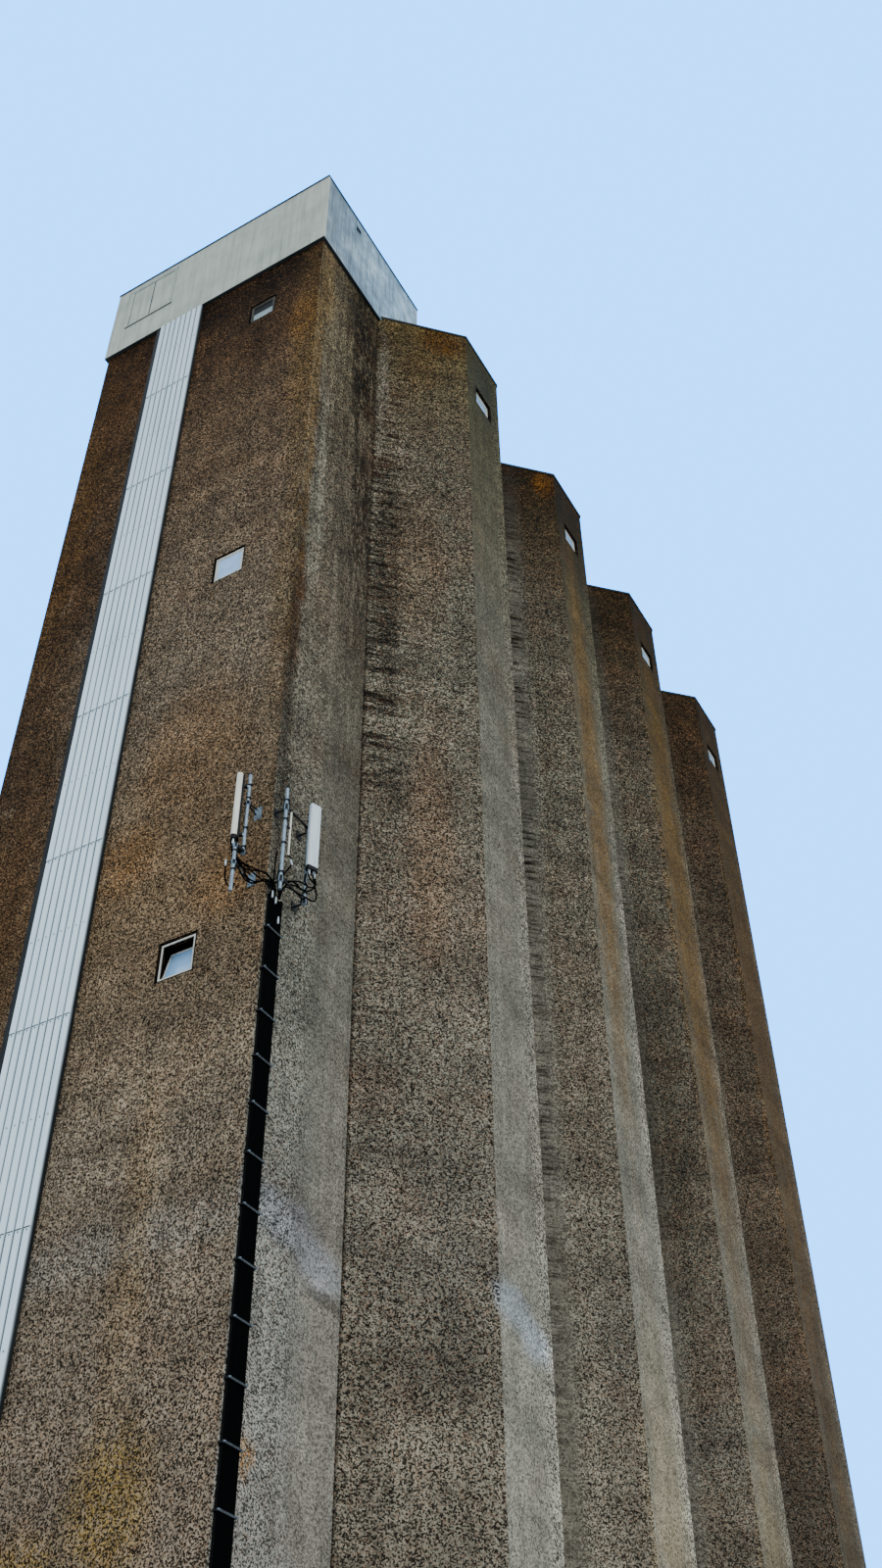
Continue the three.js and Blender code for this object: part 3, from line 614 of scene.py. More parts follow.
def makeDuctSheet():  # near-white coating; the troughs between the ribs are darker, partly dirt and partly painted shade
    material, add, shader, place = startMaterial("ductSheet", Specular_IOR_Level=0.45)
    split = add("SeparateXYZ", place)
    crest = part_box("duct_cover_sheets")[0].x
    depth = add("MapRange", split.outputs["X"], crest + 0.003, crest + 0.018)
    run = stretchedNoise(add, place, (9, 9, 0.6), 6, 0.65)
    face = add("ValToRGB", run, stops=[(0.3, "#e6faff"), (0.55, "#dcf1fb"), (0.75, "#c8dbe4")])
    # partly dirt, partly painted shade: the troughs' darker colour
    trough = add("ValToRGB", run, stops=[(0.3, "#6d787e"), (0.6, "#535c60"), (0.8, "#3d413f")])
    tone = add("Mix RGBA", depth, face, trough)
    grain = add("TexNoise", Vector=place, Scale=140, Detail=2)
    darkening = add("MapRange", split.outputs["Z"], 13, 23.4, 1.0, 0.8)
    tone = add("VectorMath SCALE", tone, darkening)
    finishSurface(add, shader, tone, run, (0.42, 0.6), grain, 0.3, 0.0008)
    return material


def bareMask(add, place):  # pipes and the tower's wall plates keep bare zinc, the arms between are dark
    flat = add("VectorMath MULTIPLY", place, (1, 1, 0))
    split = add("SeparateXYZ", place)
    plate = add("Math GREATER_THAN", split.outputs["X"], endFace - 0.04)
    corner = add("Math GREATER_THAN", split.outputs["Y"], sideFace + 0.02)
    mask = add("Math MULTIPLY", plate, corner)
    for out, y, _, _ in pipes.values():
        away = add("VectorMath DISTANCE", flat, (endFace + out, y, 0))
        near = add("Math LESS_THAN", away, fixingSet["bare"])
        mask = add("Math MAXIMUM", mask, near)
    return mask


def barMask(add, place):  # the clamp bars that cross the cables
    split = add("SeparateXYZ", place)
    level = add("Math SUBTRACT", split.outputs["Z"], cableSet["firstClamp"] - 0.02)
    level = add("Math FLOORED_MODULO", level, cableSet["clampPitch"])
    front = add("Math LESS_THAN", split.outputs["Y"], sideFace - 0.045)
    bar = add("Math LESS_THAN", level, 0.04)
    return add("Math MULTIPLY", bar, front)


def makeZinc(name, tones, chalky, maskOf=None, darkening=None):  # hot-dip galvanised: spangled, chalky in patches
    material, add, shader, place = startMaterial(name, Metallic=0.75)
    spangle = add("TexVoronoi", Vector=place, Scale=90)
    tone = add("ValToRGB", spangle.outputs["Color"], stops=zip((0.2, 0.5, 0.8), tones))
    chalk = add("TexNoise", Vector=place, Scale=12, Detail=6)
    chalkMask = add("MapRange", chalk, 0.5, 0.68, 0.0, 0.6)
    chalked = add("Mix RGBA", chalkMask, tone, chalky)
    if maskOf:
        mask = maskOf(add, place)
        chalked = add("Mix RGBA", mask, darkening, chalked)
    finishSurface(add, shader, chalked, chalk, (0.38, 0.62), chalk, 0.25, 0.0006)
    return material


def makeMoulded(name, tones, roughness, gloss=0.5):  # moulded shell: even colour, chalked by the sun
    material, add, shader, place = startMaterial(name, Specular_IOR_Level=gloss)
    wear = stretchedNoise(add, place, (30, 30, 3), 5)
    tone = add("ValToRGB", wear, stops=zip((0.3, 0.52, 0.75), tones))
    grain = add("TexNoise", Vector=place, Scale=400, Detail=2)
    finishSurface(add, shader, tone, wear, (roughness - 0.06, roughness + 0.1), grain, 0.3, 0.0003)
    return material


def makePane(name, tones):  # old float glass over a dark room, filmed with dust; its pale base colour is a painted reflection of the sky
    material, add, shader, place = startMaterial(name, Coat_Weight=0.3, Coat_Roughness=0.05)
    film = add("TexNoise", Vector=place, Scale=6, Detail=5)
    tone = add("ValToRGB", film, stops=zip((0.3, 0.55, 0.8), tones))
    ripple = add("TexNoise", Vector=place, Scale=3, Detail=1)
    finishSurface(add, shader, tone, film, (0.08, 0.2), ripple, 0.1, 0.002)
    return material


def makeFelt():  # mineral roofing felt: dark slate grit, paler where water stood
    material, add, shader, place = startMaterial("mineralFelt", Specular_IOR_Level=0.2)
    pond = add("TexNoise", Vector=place, Scale=0.9, Detail=7, Roughness=0.6)
    tone = add("ValToRGB", pond, stops=[(0.35, "#3d4043"), (0.55, "#4a4d4f"), (0.7, "#626463")])
    grit = add("TexNoise", Vector=place, Scale=160, Detail=3, Roughness=0.8)
    gritLevel = add("MapRange", grit, 0.35, 0.65, 0.7, 1.3)
    colour = add("VectorMath SCALE", tone, gritLevel)
    finishSurface(add, shader, colour, pond, (0.85, 0.97), grit, 0.5, 0.001)
    return material


towerConcrete = makeTowerConcrete()
bayConcrete = makeBayConcrete()
castConcrete = makeCastConcrete()
endCladding = makeCoatedSheet("paleGreenCoating", ("#9aa091", "#a8ad9d", "#b5b9aa"), "#7c8378", 0.6, 0.5)
sideCladding = makeCoatedSheet("weatheredBlueCoating", ("#4f6e80", "#7191a3", "#a2bac7"), "#374f60",
                               0.9, 0.42, 0.45, (-7.1, -5.2, 0.56, 1.36))
darkCoating = makeCoatedSheet("anthraciteCoating", ("#15181a", "#1c2022", "#262a2c"), "#2c2f2e", 0.5, 0.6,
                              0.15)
ductSheet = makeDuctSheet()
zinc = makeZinc("hotDipZinc", ("#6c7b85", "#7c8c97", "#92a3ae"), "#a3b3bd")
darkArmZinc = makeZinc("darkArmZinc", ("#6c7b85", "#7c8c97", "#92a3ae"), "#a3b3bd", bareMask, "#14171a")
dullZinc = makeZinc("dulledZinc", ("#33383b", "#3f4549", "#4d5357"), "#5a6165", barMask, "#08090a")
creamShell = makeMoulded("creamShell", ("#c9c6b3", "#d8d5c4", "#e2e0d2"), 0.45)
whiteShell = makeMoulded("whiteShell", ("#b5c4ca", "#c7d5da", "#d6e0e2"), 0.4)
blackCap = makeMoulded("blackNylon", ("#08090a", "#0d0f11", "#15171a"), 0.5, 0.15)
# darker paint for the top window's frame
darkFramePaint = makeMoulded("darkWindowPaint", ("#37342e", "#48443c", "#5a554b"), 0.5, 0.2)
windowPaint = makeMoulded("whiteGlossPaint", ("#b9b6a8", "#cfccbf", "#dcdacf"), 0.35)
# painted reflection: the panes' pale blue base colour stands for the sky they mirror, dimmer on the top
# window
paneGlass = makePane("floatGlass", ("#88b4de", "#96c1e8", "#a9cff2"))
dimGlass = makePane("dimFloatGlass", ("#4f6261", "#647a77", "#7c918c"))
# painted shade: near-black glass for the shaded upper part of the top window
paintedShadePane = makeMoulded("paintedShadeGlass", ("#040506", "#07090b", "#0c0f12"), 0.3, 0.04)
sheath = makeMoulded("blackPolythene", ("#020203", "#030404", "#060707"), 0.75, 0.02)
felt = makeFelt()

dress([n for n in nodes if n.startswith("tower_") and n.endswith("_wall")] + ["far_end_wall"], towerConcrete)
dress([n for n in nodes if "_bay_wall_" in n] + ["roof_slab"], bayConcrete)
dress([n for n in nodes if n == "base_slab" or "_floor" in n], castConcrete)
dress(["penthouse_end_wall", "penthouse_back_wall", "penthouse_roof", "hatch_frame", "hatch_leaf_left",
       "hatch_leaf_right"], endCladding)
dress(["penthouse_right_wall", "penthouse_left_wall"], sideCladding)
# the drip flashing is real, and its black also stands for painted shade under the cladding's skirt
dress(["penthouse_roof_trim", "penthouse_drip_flashing", "roof_coping", "duct_cover_rails"], darkCoating)
dress(["duct_cover_sheets"], ductSheet)
dress(["left_aerial_support", "right_aerial_support"], darkArmZinc)
dress(["cable_ladder"], dullZinc)
dress(["rod_aerial"], creamShell)
dress([n for n in nodes if "_jumper_" in n], sheath)
print("stage: materials on the carried-over nodes")


# penthouse cladding: narrow upright planks with a fine joint between them

plankSet = {
    "width": 0.2, "joint": 0.004, "proud": 0.003, "bedded": 0.001, "edge": 0.0012, "clear": 0.002,
    "margin": 0.03,  # the corner angles cover the walls' ends
    "narrowest": 0.01,  # slivers beside an opening are left out
    "angleLeg": 0.034, "angleSheet": 0.0045, "angleLap": 0.0005,
}
ventSet = {
    "x": (-6.305, -6.155), "z": (25.05, 25.20), "blades": 3, "tilt": -38, "bladeHalf": (0.011, 0.0015),
    "bladeBack": 0.016, "rim": 0.017, "flange": 0.012, "proud": 0.009, "meshBack": 0.04,
}


def addPlanks(bm, start, end, foot, top, place, hole):
    count = round((end - start) / plankSet["width"])
    pitch = (end - start) / count
    for i in range(count):
        left = start + i * pitch + plankSet["joint"] / 2
        right = left + pitch - plankSet["joint"]
        spans = [(left, right, foot(left), top)]
        if hole and left < hole[1] and right > hole[0]:
            holeLeft, holeRight, holeLow, holeHigh = hole
            spans = [(left, right, foot(left), holeLow), (left, right, holeHigh, top),
                     (left, holeLeft, holeLow, holeHigh), (holeRight, right, holeLow, holeHigh)]
        for a, b, low, high in spans:
            if min(b - a, high - low) > plankSet["narrowest"]:
                addBlock(bm, *place(a, b, low, high))


def buildCladding():
    end, side, left, back = (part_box(f"penthouse_{wall}_wall") for wall in ("end", "right", "left", "back"))
    proud, bedded, clear, margin = (plankSet[key] for key in ("proud", "bedded", "clear", "margin"))
    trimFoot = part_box("penthouse_roof_trim")[0].z - clear
    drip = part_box("penthouse_drip_flashing")[1].z + clear
    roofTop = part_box("roof_coping")[1].z + clear
    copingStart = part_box("roof_coping")[0].x - margin
    hatchLow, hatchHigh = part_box("hatch_frame")
    hatch = (hatchLow.y - clear, hatchHigh.y + clear, hatchLow.z - clear, hatchHigh.z + clear)
    across, along = (end[0].y + margin, end[1].y - margin), (side[0].x + margin, side[1].x - margin)
    panels = (
        ("end_cladding", endCladding, across, lambda y: drip, hatch,
         lambda a, b, low, high: ((end[0].x - proud, a, low), (end[0].x + bedded, b, high))),
        ("right_cladding", sideCladding, along, lambda x: drip if x < copingStart else roofTop,
         ventSet["x"] + ventSet["z"],
         lambda a, b, low, high: ((a, side[0].y - proud, low), (b, side[0].y + bedded, high))),
        ("left_cladding", sideCladding, along, lambda x: drip if x < copingStart else roofTop, None,
         lambda a, b, low, high: ((a, left[1].y - bedded, low), (b, left[1].y + proud, high))),
        ("back_cladding", endCladding, across, lambda y: roofTop, None,
         lambda a, b, low, high: ((back[1].x - bedded, a, low), (back[1].x + proud, b, high))),
    )
    for name, material, (start, stop), foot, hole, place in panels:
        bm = bmesh.new()
        addPlanks(bm, start, stop, foot, trimFoot, place, hole)
        makePiece(name, bm, material, edge=plankSet["edge"])
    bm = bmesh.new()  # folded angles over the four upright corners
    leg, sheet, lap = plankSet["angleLeg"], plankSet["angleSheet"], plankSet["angleLap"]
    for x, foot in ((end[0].x, drip), (side[1].x, roofTop)):
        for y in (side[0].y, left[1].y):
            outX, outY = math.copysign(sheet, x - (end[0].x + side[1].x) / 2), math.copysign(sheet, y)
            inX, inY = x - math.copysign(leg, outX), y - math.copysign(leg, y)
            addBlock(bm, (min(x, x + outX) - lap, min(inY, y + outY), foot),
                     (max(x, x + outX) + lap, max(inY, y + outY), trimFoot))
            addBlock(bm, (min(inX, x), min(y, y + outY) - lap, foot),
                     (max(inX, x), max(y, y + outY) + lap, trimFoot))
    makePiece("corner_angles", bm, endCladding, edge=0.001)


hatchSet = {
    "plank": 0.107, "joint": 0.0015, "margin": 0.006, "proud": 0.003, "bedded": 0.001, "seal": 0.0035,
    "sealUpright": 0.0035, "sealLevel": 0.0032,  # how far the seals stand out
    "overhang": 0.02, "reach": 0.012,  # of the sill and the head strip
    "hinge": 0.009, "hingeIn": 0.034, "knuckle": 0.035, "knuckles": (0.14, 0.5, 0.86),
    "bolt": (24.6, 24.76, 0.006),  # from, to and radius
}


def buildHatch():
    low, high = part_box("hatch_frame")
    leaves = [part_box(name) for name in ("hatch_leaf_left", "hatch_leaf_right")]
    margin, bedded, seal = hatchSet["margin"], hatchSet["bedded"], hatchSet["seal"]
    for name, z, under, proud, edge, material, slot in (
            ("hatch_sill", low.z, 0.014, 0.005, 0.003, darkCoating, "dark_flashing"),
            ("hatch_head_strip", high.z, 0.006, 0.003, 0.002, zinc, "galvanised_steel")):
        bm = bmesh.new()
        addBlock(bm, (low.x - proud, low.y - hatchSet["overhang"], z - under),
                 (low.x + hatchSet["reach"], high.y + hatchSet["overhang"], z + 0.008))
        roundEdges(bm, edge)
        makePiece(name, bm, material)
    planks, seals = bmesh.new(), bmesh.new()
    for leafLow, leafHigh in leaves:
        count = round((leafHigh.y - leafLow.y) / hatchSet["plank"])
        pitch = (leafHigh.y - leafLow.y - 2 * margin) / count
        for i in range(count):
            start = leafLow.y + margin + i * pitch
            addBlock(planks, (leafLow.x - hatchSet["proud"], start + hatchSet["joint"], leafLow.z + margin),
                     (leafLow.x + bedded, start + pitch - hatchSet["joint"], leafHigh.z - margin))
        for y in (leafLow.y + seal, leafHigh.y - seal):  # dark rubber round each leaf
            addBlock(seals, (leafLow.x - hatchSet["sealUpright"], y - seal, leafLow.z),
                     (leafLow.x + bedded, y + seal, leafHigh.z))
        for z in (leafLow.z + seal, leafHigh.z - seal):
            addBlock(seals, (leafLow.x - hatchSet["sealLevel"], leafLow.y, z - seal),
                     (leafLow.x + bedded, leafHigh.y, z + seal))
    ironwork = bmesh.new()
    x, half = low.x + 0.004, hatchSet["knuckle"]
    for y in (low.y + hatchSet["hingeIn"], high.y - hatchSet["hingeIn"]):  # knuckles of the leaves' hinges
        for share in hatchSet["knuckles"]:
            z = low.z + share * (high.z - low.z)
            addRod(ironwork, (x, y, z - half), (x, y, z + half), hatchSet["hinge"], 10)
    foot, top, radius = hatchSet["bolt"]
    x, middle = low.x - 0.002, (low.y + high.y) / 2
    addRod(ironwork, (x, middle, foot), (x, middle, top), radius, 10)
    makePiece("hatch_planks", planks, endCladding, edge=0.001)
    makePiece("hatch_ironwork", ironwork, zinc, edge=0.0012)
    makePiece("hatch_seals", seals, darkCoating, edge=0.0008)


def buildVent():
    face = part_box("penthouse_right_wall")[0].y
    (left, right), (foot, top) = ventSet["x"], ventSet["z"]
    width, height = right - left, top - foot
    centre = Vector(((left + right) / 2, 0, (foot + top) / 2))
    surround, louvre, mesh = bmesh.new(), bmesh.new(), bmesh.new()
    addRing(surround, width + 2 * ventSet["flange"], height + 2 * ventSet["flange"], ventSet["rim"],
            face + 0.002, face - ventSet["proud"])
    bmesh.ops.translate(surround, verts=surround.verts, vec=centre)
    tilt = Matrix.Rotation(math.radians(ventSet["tilt"]), 4, "X")
    deep, thick = ventSet["bladeHalf"]
    for i in range(ventSet["blades"]):
        spot = Matrix.Translation((centre.x, face + ventSet["bladeBack"],
                                   foot + height * (i + 0.5) / ventSet["blades"]))
        addBlock(louvre, (-width / 2 - 0.002, -deep, -thick), (width / 2 + 0.002, deep, thick), spot @ tilt)
    # a solid dark plate behind the blades: the insect mesh, and painted shade for the dark inside of the vent
    addBlock(mesh, (left, face + ventSet["meshBack"], foot), (right, face + ventSet["meshBack"] + 0.004, top))
    makePiece("vent_surround", surround, sideCladding, edge=0.0008)
    makePiece("vent_louvre", louvre, darkCoating, edge=0.0008)
    makePiece("vent_mesh", mesh, darkCoating, edge=0.001)


feltSet = {
    "sheet": 0.5, "lap": 0.05, "thick": 0.0028, "edge": 0.075, "slant": 1.42,
    "step": 0.0016,  # every other sheet lies on its neighbours
    "pentSheets": 6, "pentLap": 0.03, "pentEdge": 0.045, "pentTops": (0.0042, 0.0028),
}


def foldDepth(x):  # y of the folded outline at x, on the long side that the photo shows
    along = (x - firstFold) % bayPitch
    return -sideFace + (min(bayStep, along, bayPitch - along) if x > firstFold else 0)


def addRoofSheet(bm, start, end, lift):  # one sheet of felt, its ends cut along the folded plan
    folds = [firstFold + i * bayPitch + run for i in range(4) for run in (0, bayStep, bayPitch - bayStep)]
    stops = [start] + [x for x in folds if start < x < end] + [end]
    edge = [(x, foldDepth(x) - feltSet["slant"] * feltSet["edge"]) for x in stops]
    outline = edge + [(x, -y) for x, y in reversed(edge)]
    face = bm.faces.new([bm.verts.new((x, y, wallTop + lift)) for x, y in outline])
    pushFaces(bm, [face], (0, 0, feltSet["thick"]))


def buildRoofs():
    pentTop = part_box("penthouse_roof")[1].z
    low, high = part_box("penthouse_roof_trim")
    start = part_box("penthouse_back_wall")[1].x + 0.006
    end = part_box("roof_coping")[1].x - feltSet["edge"]
    sheet, edge = feltSet["sheet"], feltSet["pentEdge"]
    roof, pent = bmesh.new(), bmesh.new()
    for i in range(math.ceil((end - start) / sheet)):
        left = start + i * sheet
        addRoofSheet(roof, left, min(left + sheet + feltSet["lap"], end), 0.0005 + feltSet["step"] * (i % 2))
    count = feltSet["pentSheets"]
    pitch = (high.x - low.x - 2 * edge) / count
    for i in range(count):
        left = low.x + edge + i * pitch
        right = left + pitch + feltSet["pentLap"] * (i + 1 < count)
        addBlock(pent, (left, low.y + edge, pentTop - 0.001),
                 (right, high.y - edge, pentTop + feltSet["pentTops"][i % 2]))
    makePiece("roof_felt", roof, felt, edge=0.0008)
    makePiece("penthouse_felt", pent, felt, edge=0.0008)


buildCladding()
buildHatch()
buildVent()
buildRoofs()
print("stage: penthouse and roofs")


# windows: painted frame, putty-glazed sash and one pane, in black rings of painted shade

windowSet = {
    # the seal, the gap and the bead also give the widths of black rings of painted shade round each window
    "seal": 0.017, "frame": 0.017, "frameDepth": 0.018, "sash": 0.013, "gap": 0.006, "sashDepth": 0.024,
    "pane": 0.005, "paneBack": 0.009, "round": 0.0018, "hinge": 0.005, "shadowBead": 0.01, "tilt": 14,
    "outward": {"-X": -90, "-Y": 0, "+Y": 180},  # turn of a window that looks that way
}


def placePieces(parts, name, standsFor):
    for part, (bm, material) in parts.items():
        nodesReplaced = standsFor if part == "frame" else ()
        makePiece(f"{name}_{part}", bm, material, nodesReplaced, 0.7)


def placeRing(bm, width, height, rim, back, front, edge, place):  # a rounded ring, turned into place
    ring = bmesh.new()
    addRing(ring, width, height, rim, back, front)
    roundEdges(ring, edge, 2)
    mesh = bpy.data.meshes.new("ring")
    ring.to_mesh(mesh)
    ring.free()
    mesh.transform(place)
    bm.from_mesh(mesh)
    bpy.data.meshes.remove(mesh)


def addSash(frameBm, panes, width, height, front, place):
    placeRing(frameBm, width, height, windowSet["sash"], front + windowSet["sashDepth"], front,
              windowSet["round"], place)
    halfWidth, halfHeight = width / 2 - windowSet["sash"] + 0.003, height / 2 - windowSet["sash"] + 0.003
    glass = front + windowSet["paneBack"]
    for bm, low, high in panes:  # from and to, as shares of the pane's height
        addBlock(bm, (-halfWidth, glass, (2 * low - 1) * halfHeight),
                 (halfWidth, glass + windowSet["pane"], (2 * high - 1) * halfHeight), place)


def addFrame(frameBm, shadeRingBm, width, height, front, setBack, place):
    seal, frameRim, shadowBead = windowSet["seal"], windowSet["frame"], windowSet["shadowBead"]
    back, wall, inner = front + windowSet["frameDepth"], front - setBack, 2 * (seal + frameRim) - 0.002
    placeRing(frameBm, width - 2 * seal, height - 2 * seal, frameRim, back, front, windowSet["round"], place)
    for grow, rim, ringBack, face in (
            (0, seal + 0.001, back, front + 0.003),  # painted shade: a black ring round the frame, for the shadow of the opening's head and sides
            (-inner, windowSet["gap"] + 0.004, back, front + 0.012),  # painted shade: a black ring in the gap between frame and sash
            (2 * shadowBead, shadowBead + 0.001, wall + 0.002, wall - 0.0015)):  # painted shadow: a black line round the opening on the wall's face
        placeRing(shadeRingBm, width + grow, height + grow, rim, ringBack, face, 0.0005, place)


def buildWindow(name, outward, shadedShare=0.0, glass=None, paint=None):
    low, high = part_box(name)
    size = high - low
    width, depth = (size.y, size.x) if outward == "-X" else (size.x, size.y)
    height, front = size.z, -depth / 2
    place = (Matrix.Translation((low + high) / 2)
             @ Matrix.Rotation(math.radians(windowSet["outward"][outward]), 4, "Z"))
    setBack = low.x - endFace if outward == "-X" else min(abs(low.y - noseFace), abs(high.y + noseFace))
    frameBm, paleBm, shadeBm, shadeRingBm = bmesh.new(), bmesh.new(), bmesh.new(), bmesh.new()
    addFrame(frameBm, shadeRingBm, width, height, front, setBack, place)
    parts = {"frame": (frameBm, paint or windowPaint)}
    if name == "tower_window_3":  # its sash is open and has a node of its own
        parts["shade_ring"] = (shadeRingBm, sheath)
        placePieces(parts, "tower_light_3", (name,))
        return
    rim = windowSet["seal"] + windowSet["frame"]
    panes = [(paleBm, 0.0, 1.0 - shadedShare)] + [(shadeBm, 1.0 - shadedShare, 1.0)] * bool(shadedShare)
    inner = 2 * (rim + windowSet["gap"])
    addSash(frameBm, panes, width - inner, height - inner, front + 0.006, place)
    for x in (-0.28 * width, 0.28 * width):  # hinges on the bottom rail
        ends = (place @ Vector((x + reach, front - 0.001, rim - height / 2)) for reach in (-0.02, 0.02))
        addRod(frameBm, *ends, windowSet["hinge"], 8)
    parts |= {"pane": (paleBm, glass or paneGlass), "shade_ring": (shadeRingBm, sheath)}
    if shadedShare:
        parts["unlit_pane"] = (shadeBm, paintedShadePane)
    placePieces(parts, name.replace("window", "light"), (name,))


def buildOpenSash(name):  # hinged at its foot, it leans into the room
    low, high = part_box(name)
    tilt, turn = math.radians(windowSet["tilt"]), math.radians(windowSet["outward"]["-X"])
    sink = windowSet["sashDepth"] * math.sin(tilt)
    height = (high.z - low.z - sink) / math.cos(tilt)
    hinge = Vector((low.x, sum(corner.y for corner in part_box("tower_window_3")) / 2, low.z + sink))
    swing = (Matrix.Translation(hinge) @ Matrix.Rotation(turn, 4, "Z") @ Matrix.Rotation(-tilt, 4, "X")
             @ Matrix.Translation((0, 0, height / 2)))
    sashBm, paneBm = bmesh.new(), bmesh.new()
    addSash(sashBm, [(paneBm, 0.0, 1.0)], high.y - low.y, height, 0.0, swing)
    placePieces({"frame": (sashBm, windowPaint), "pane": (paneBm, paneGlass)}, "tower_light_3_sash", (name,))


# the top window: its upper pane is painted shade and its lower pane a dimmer painted reflection, in a darker
# frame
buildWindow("tower_window_1", "-X", 0.52, dimGlass, darkFramePaint)
for number in range(2, 5):
    buildWindow(f"tower_window_{number}", "-X")
buildOpenSash("tower_window_3_sash")
for number in range(1, 5):
    buildWindow(f"right_bay_window_{number}", "-Y")
    buildWindow(f"left_bay_window_{number}", "+Y")
print("stage: windows")


# duct cover: hexagon-headed screws in the troughs, at each lap and halfway between, and dark strips of
# painted shade under the laps

ductSet = {
    "ribs": 8, "crest": 0.7, "firstLap": 21.377, "lapPitch": 2.310,
    # the seal sizes are of dark strips of painted shade under each lap, for the shadow of the sheet above
    "seal": 0.011, "lapShadeThick": 0.0055, "trough": 0.0185, "slope": 0.0085,
    "head": 0.0065, "washer": 0.0095, "height": 0.006, "belowLap": 0.032, "returnSheet": 0.003,
}


def buildDuctDetails():
    low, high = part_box("duct_cover_sheets")
    pitch = (high.y - low.y) / ductSet["ribs"]
    half, slope = ductSet["crest"] * pitch / 2, ductSet["slope"]
    screws, seals, returns = bmesh.new(), bmesh.new(), bmesh.new()
    z = ductSet["firstLap"] + ductSet["lapPitch"] / 2
    atLap = False
    while z > low.z + 0.1:
        for i in range(ductSet["ribs"]):
            y = low.y + (i + 0.5) * pitch
            level = z - ductSet["belowLap"] * atLap
            for start, end, radius, sides in ((0.004, 0.001, "washer", 10),
                                              (0.002, 0.001 - ductSet["height"], "head", 6)):
                addRod(screws, (low.x + start, y, level), (low.x + end, y, level), ductSet[radius], sides)
            crest = (0.0005, y - half, y + half)
            trough = (ductSet["trough"], y + half + slope, y + pitch - half - slope)
            # painted shade: a dark strip under the lap on each crest and trough
            for x, left, right in (crest, trough) * atLap:
                addBlock(seals, (low.x + x, left, z - ductSet["seal"]),
                         (low.x + x + ductSet["lapShadeThick"], right, z - 0.0005))
        atLap = not atLap
        z -= ductSet["lapPitch"] / 2
    addBlock(returns, (high.x - 0.002, low.y + 0.0005, low.z),
             (endFace - 0.008, low.y + ductSet["returnSheet"], high.z))  # folded over the near rail
    makePiece("duct_screws", screws, zinc)
    makePiece("duct_lap_shade_strips", seals, darkCoating)
    makePiece("duct_return", returns, darkCoating, edge=0.0008)


buildDuctDetails()
print("stage: duct cover")


# aerials, fixings and cables

aerialSet = {
    "width": 0.132, "depth": 0.062, "corner": 0.022, "round": 0.018, "capHeight": 0.045,
    "facing": {"left": 128, "right": 250},  # degrees from +X
    "lines": (-0.028, 0.004, 0.036), "lineHalf": 0.0012,  # fine moulded lines down the right one's front
    "spine": (0.045, 0.022), "connector": 0.0105, "connectorAt": 0.03,
}


def buildAerial(name, shell):
    low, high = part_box(name)
    facing = math.radians(aerialSet["facing"][name.split("_")[0]])
    place = Matrix.Translation((low + high) / 2) @ Matrix.Rotation(facing + math.pi / 2, 4, "Z")
    x, y, top = aerialSet["width"] / 2, aerialSet["depth"] / 2, (high.z - low.z) / 2
    capTop, corner = aerialSet["capHeight"] - top, aerialSet["corner"]
    shellBm, capBm, spineBm, ends = bmesh.new(), bmesh.new(), bmesh.new(), bmesh.new()
    for bm, inset, foot, head, radius in ((shellBm, 0, capTop, top, corner),
                                          (capBm, 0.001, -top, capTop + 0.001, corner - 0.001)):
        addBlock(bm, (inset - x, inset - y, foot), (x - inset, y - inset, head))
        upright = [e for e in bm.edges if abs((e.verts[0].co - e.verts[1].co).z) > 0.02]
        bevelEdges(bm, upright, radius, 6)
    topEdges = [e for e in shellBm.edges if min(v.co.z for v in e.verts) > top - 1e-4]
    bevelEdges(shellBm, topEdges, aerialSet["round"], 5)
    if name.startswith("right"):
        half = aerialSet["lineHalf"]
        for line in aerialSet["lines"]:
            addBlock(shellBm, (line - half, -y - 0.0006, capTop + 0.02), (line + half, 0.002 - y, top - 0.05))
    # a black back channel: a dark bracket, and painted shade for the dark gap behind the shell
    spine, deep = aerialSet["spine"]
    addBlock(spineBm, (-spine, y - 0.001, 0.02 - top), (spine, y + deep, top - 0.03))
    roundEdges(spineBm, 0.004, 2)
    for at in (-aerialSet["connectorAt"], aerialSet["connectorAt"]):
        for start, end, thicker, sides in ((0.002, -0.02, 0.002, 6), (-0.02, -0.062, 0.001, 14)):
            addRod(ends, place @ Vector((at, 0, start - top)), place @ Vector((at, 0, end - top)),
                   aerialSet["connector"] + thicker, sides)
    for bm in (shellBm, capBm, spineBm):
        bmesh.ops.transform(bm, matrix=place, verts=bm.verts)
    makePiece(f"{name}_shell", shellBm, shell, (name,), 0.6)
    makePiece(f"{name}_cap", capBm, blackCap, (), 0.6)
    makePiece(f"{name}_spine", spineBm, blackCap)
    makePiece(f"{name}_connectors", ends, whiteShell, (), 0.6)


def startCables(name, radius):  # round, and closed at both ends
    curve = bpy.data.curves.new(name, "CURVE")
    curve.dimensions = "3D"
    curve.bevel_depth = radius
    curve.bevel_resolution = 2
    curve.use_fill_caps = True
    return curve


def finishCables(name, curve, standsFor=()):
    holder = bpy.data.objects.new(name, curve)
    bpy.context.scene.collection.objects.link(holder)
    bpy.context.view_layer.update()
    mesh = bpy.data.meshes.new_from_object(holder)
    bpy.data.objects.remove(holder)
    bm = bmesh.new()
    bm.from_mesh(mesh)
    bpy.data.meshes.remove(mesh)
    makePiece(name, bm, sheath, standsFor, 0.8)


def feederTop(number):  # the feeders end one below another
    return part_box("feeder_cables")[1].z - cableSet["stagger"] * ((number * 3) % 4)


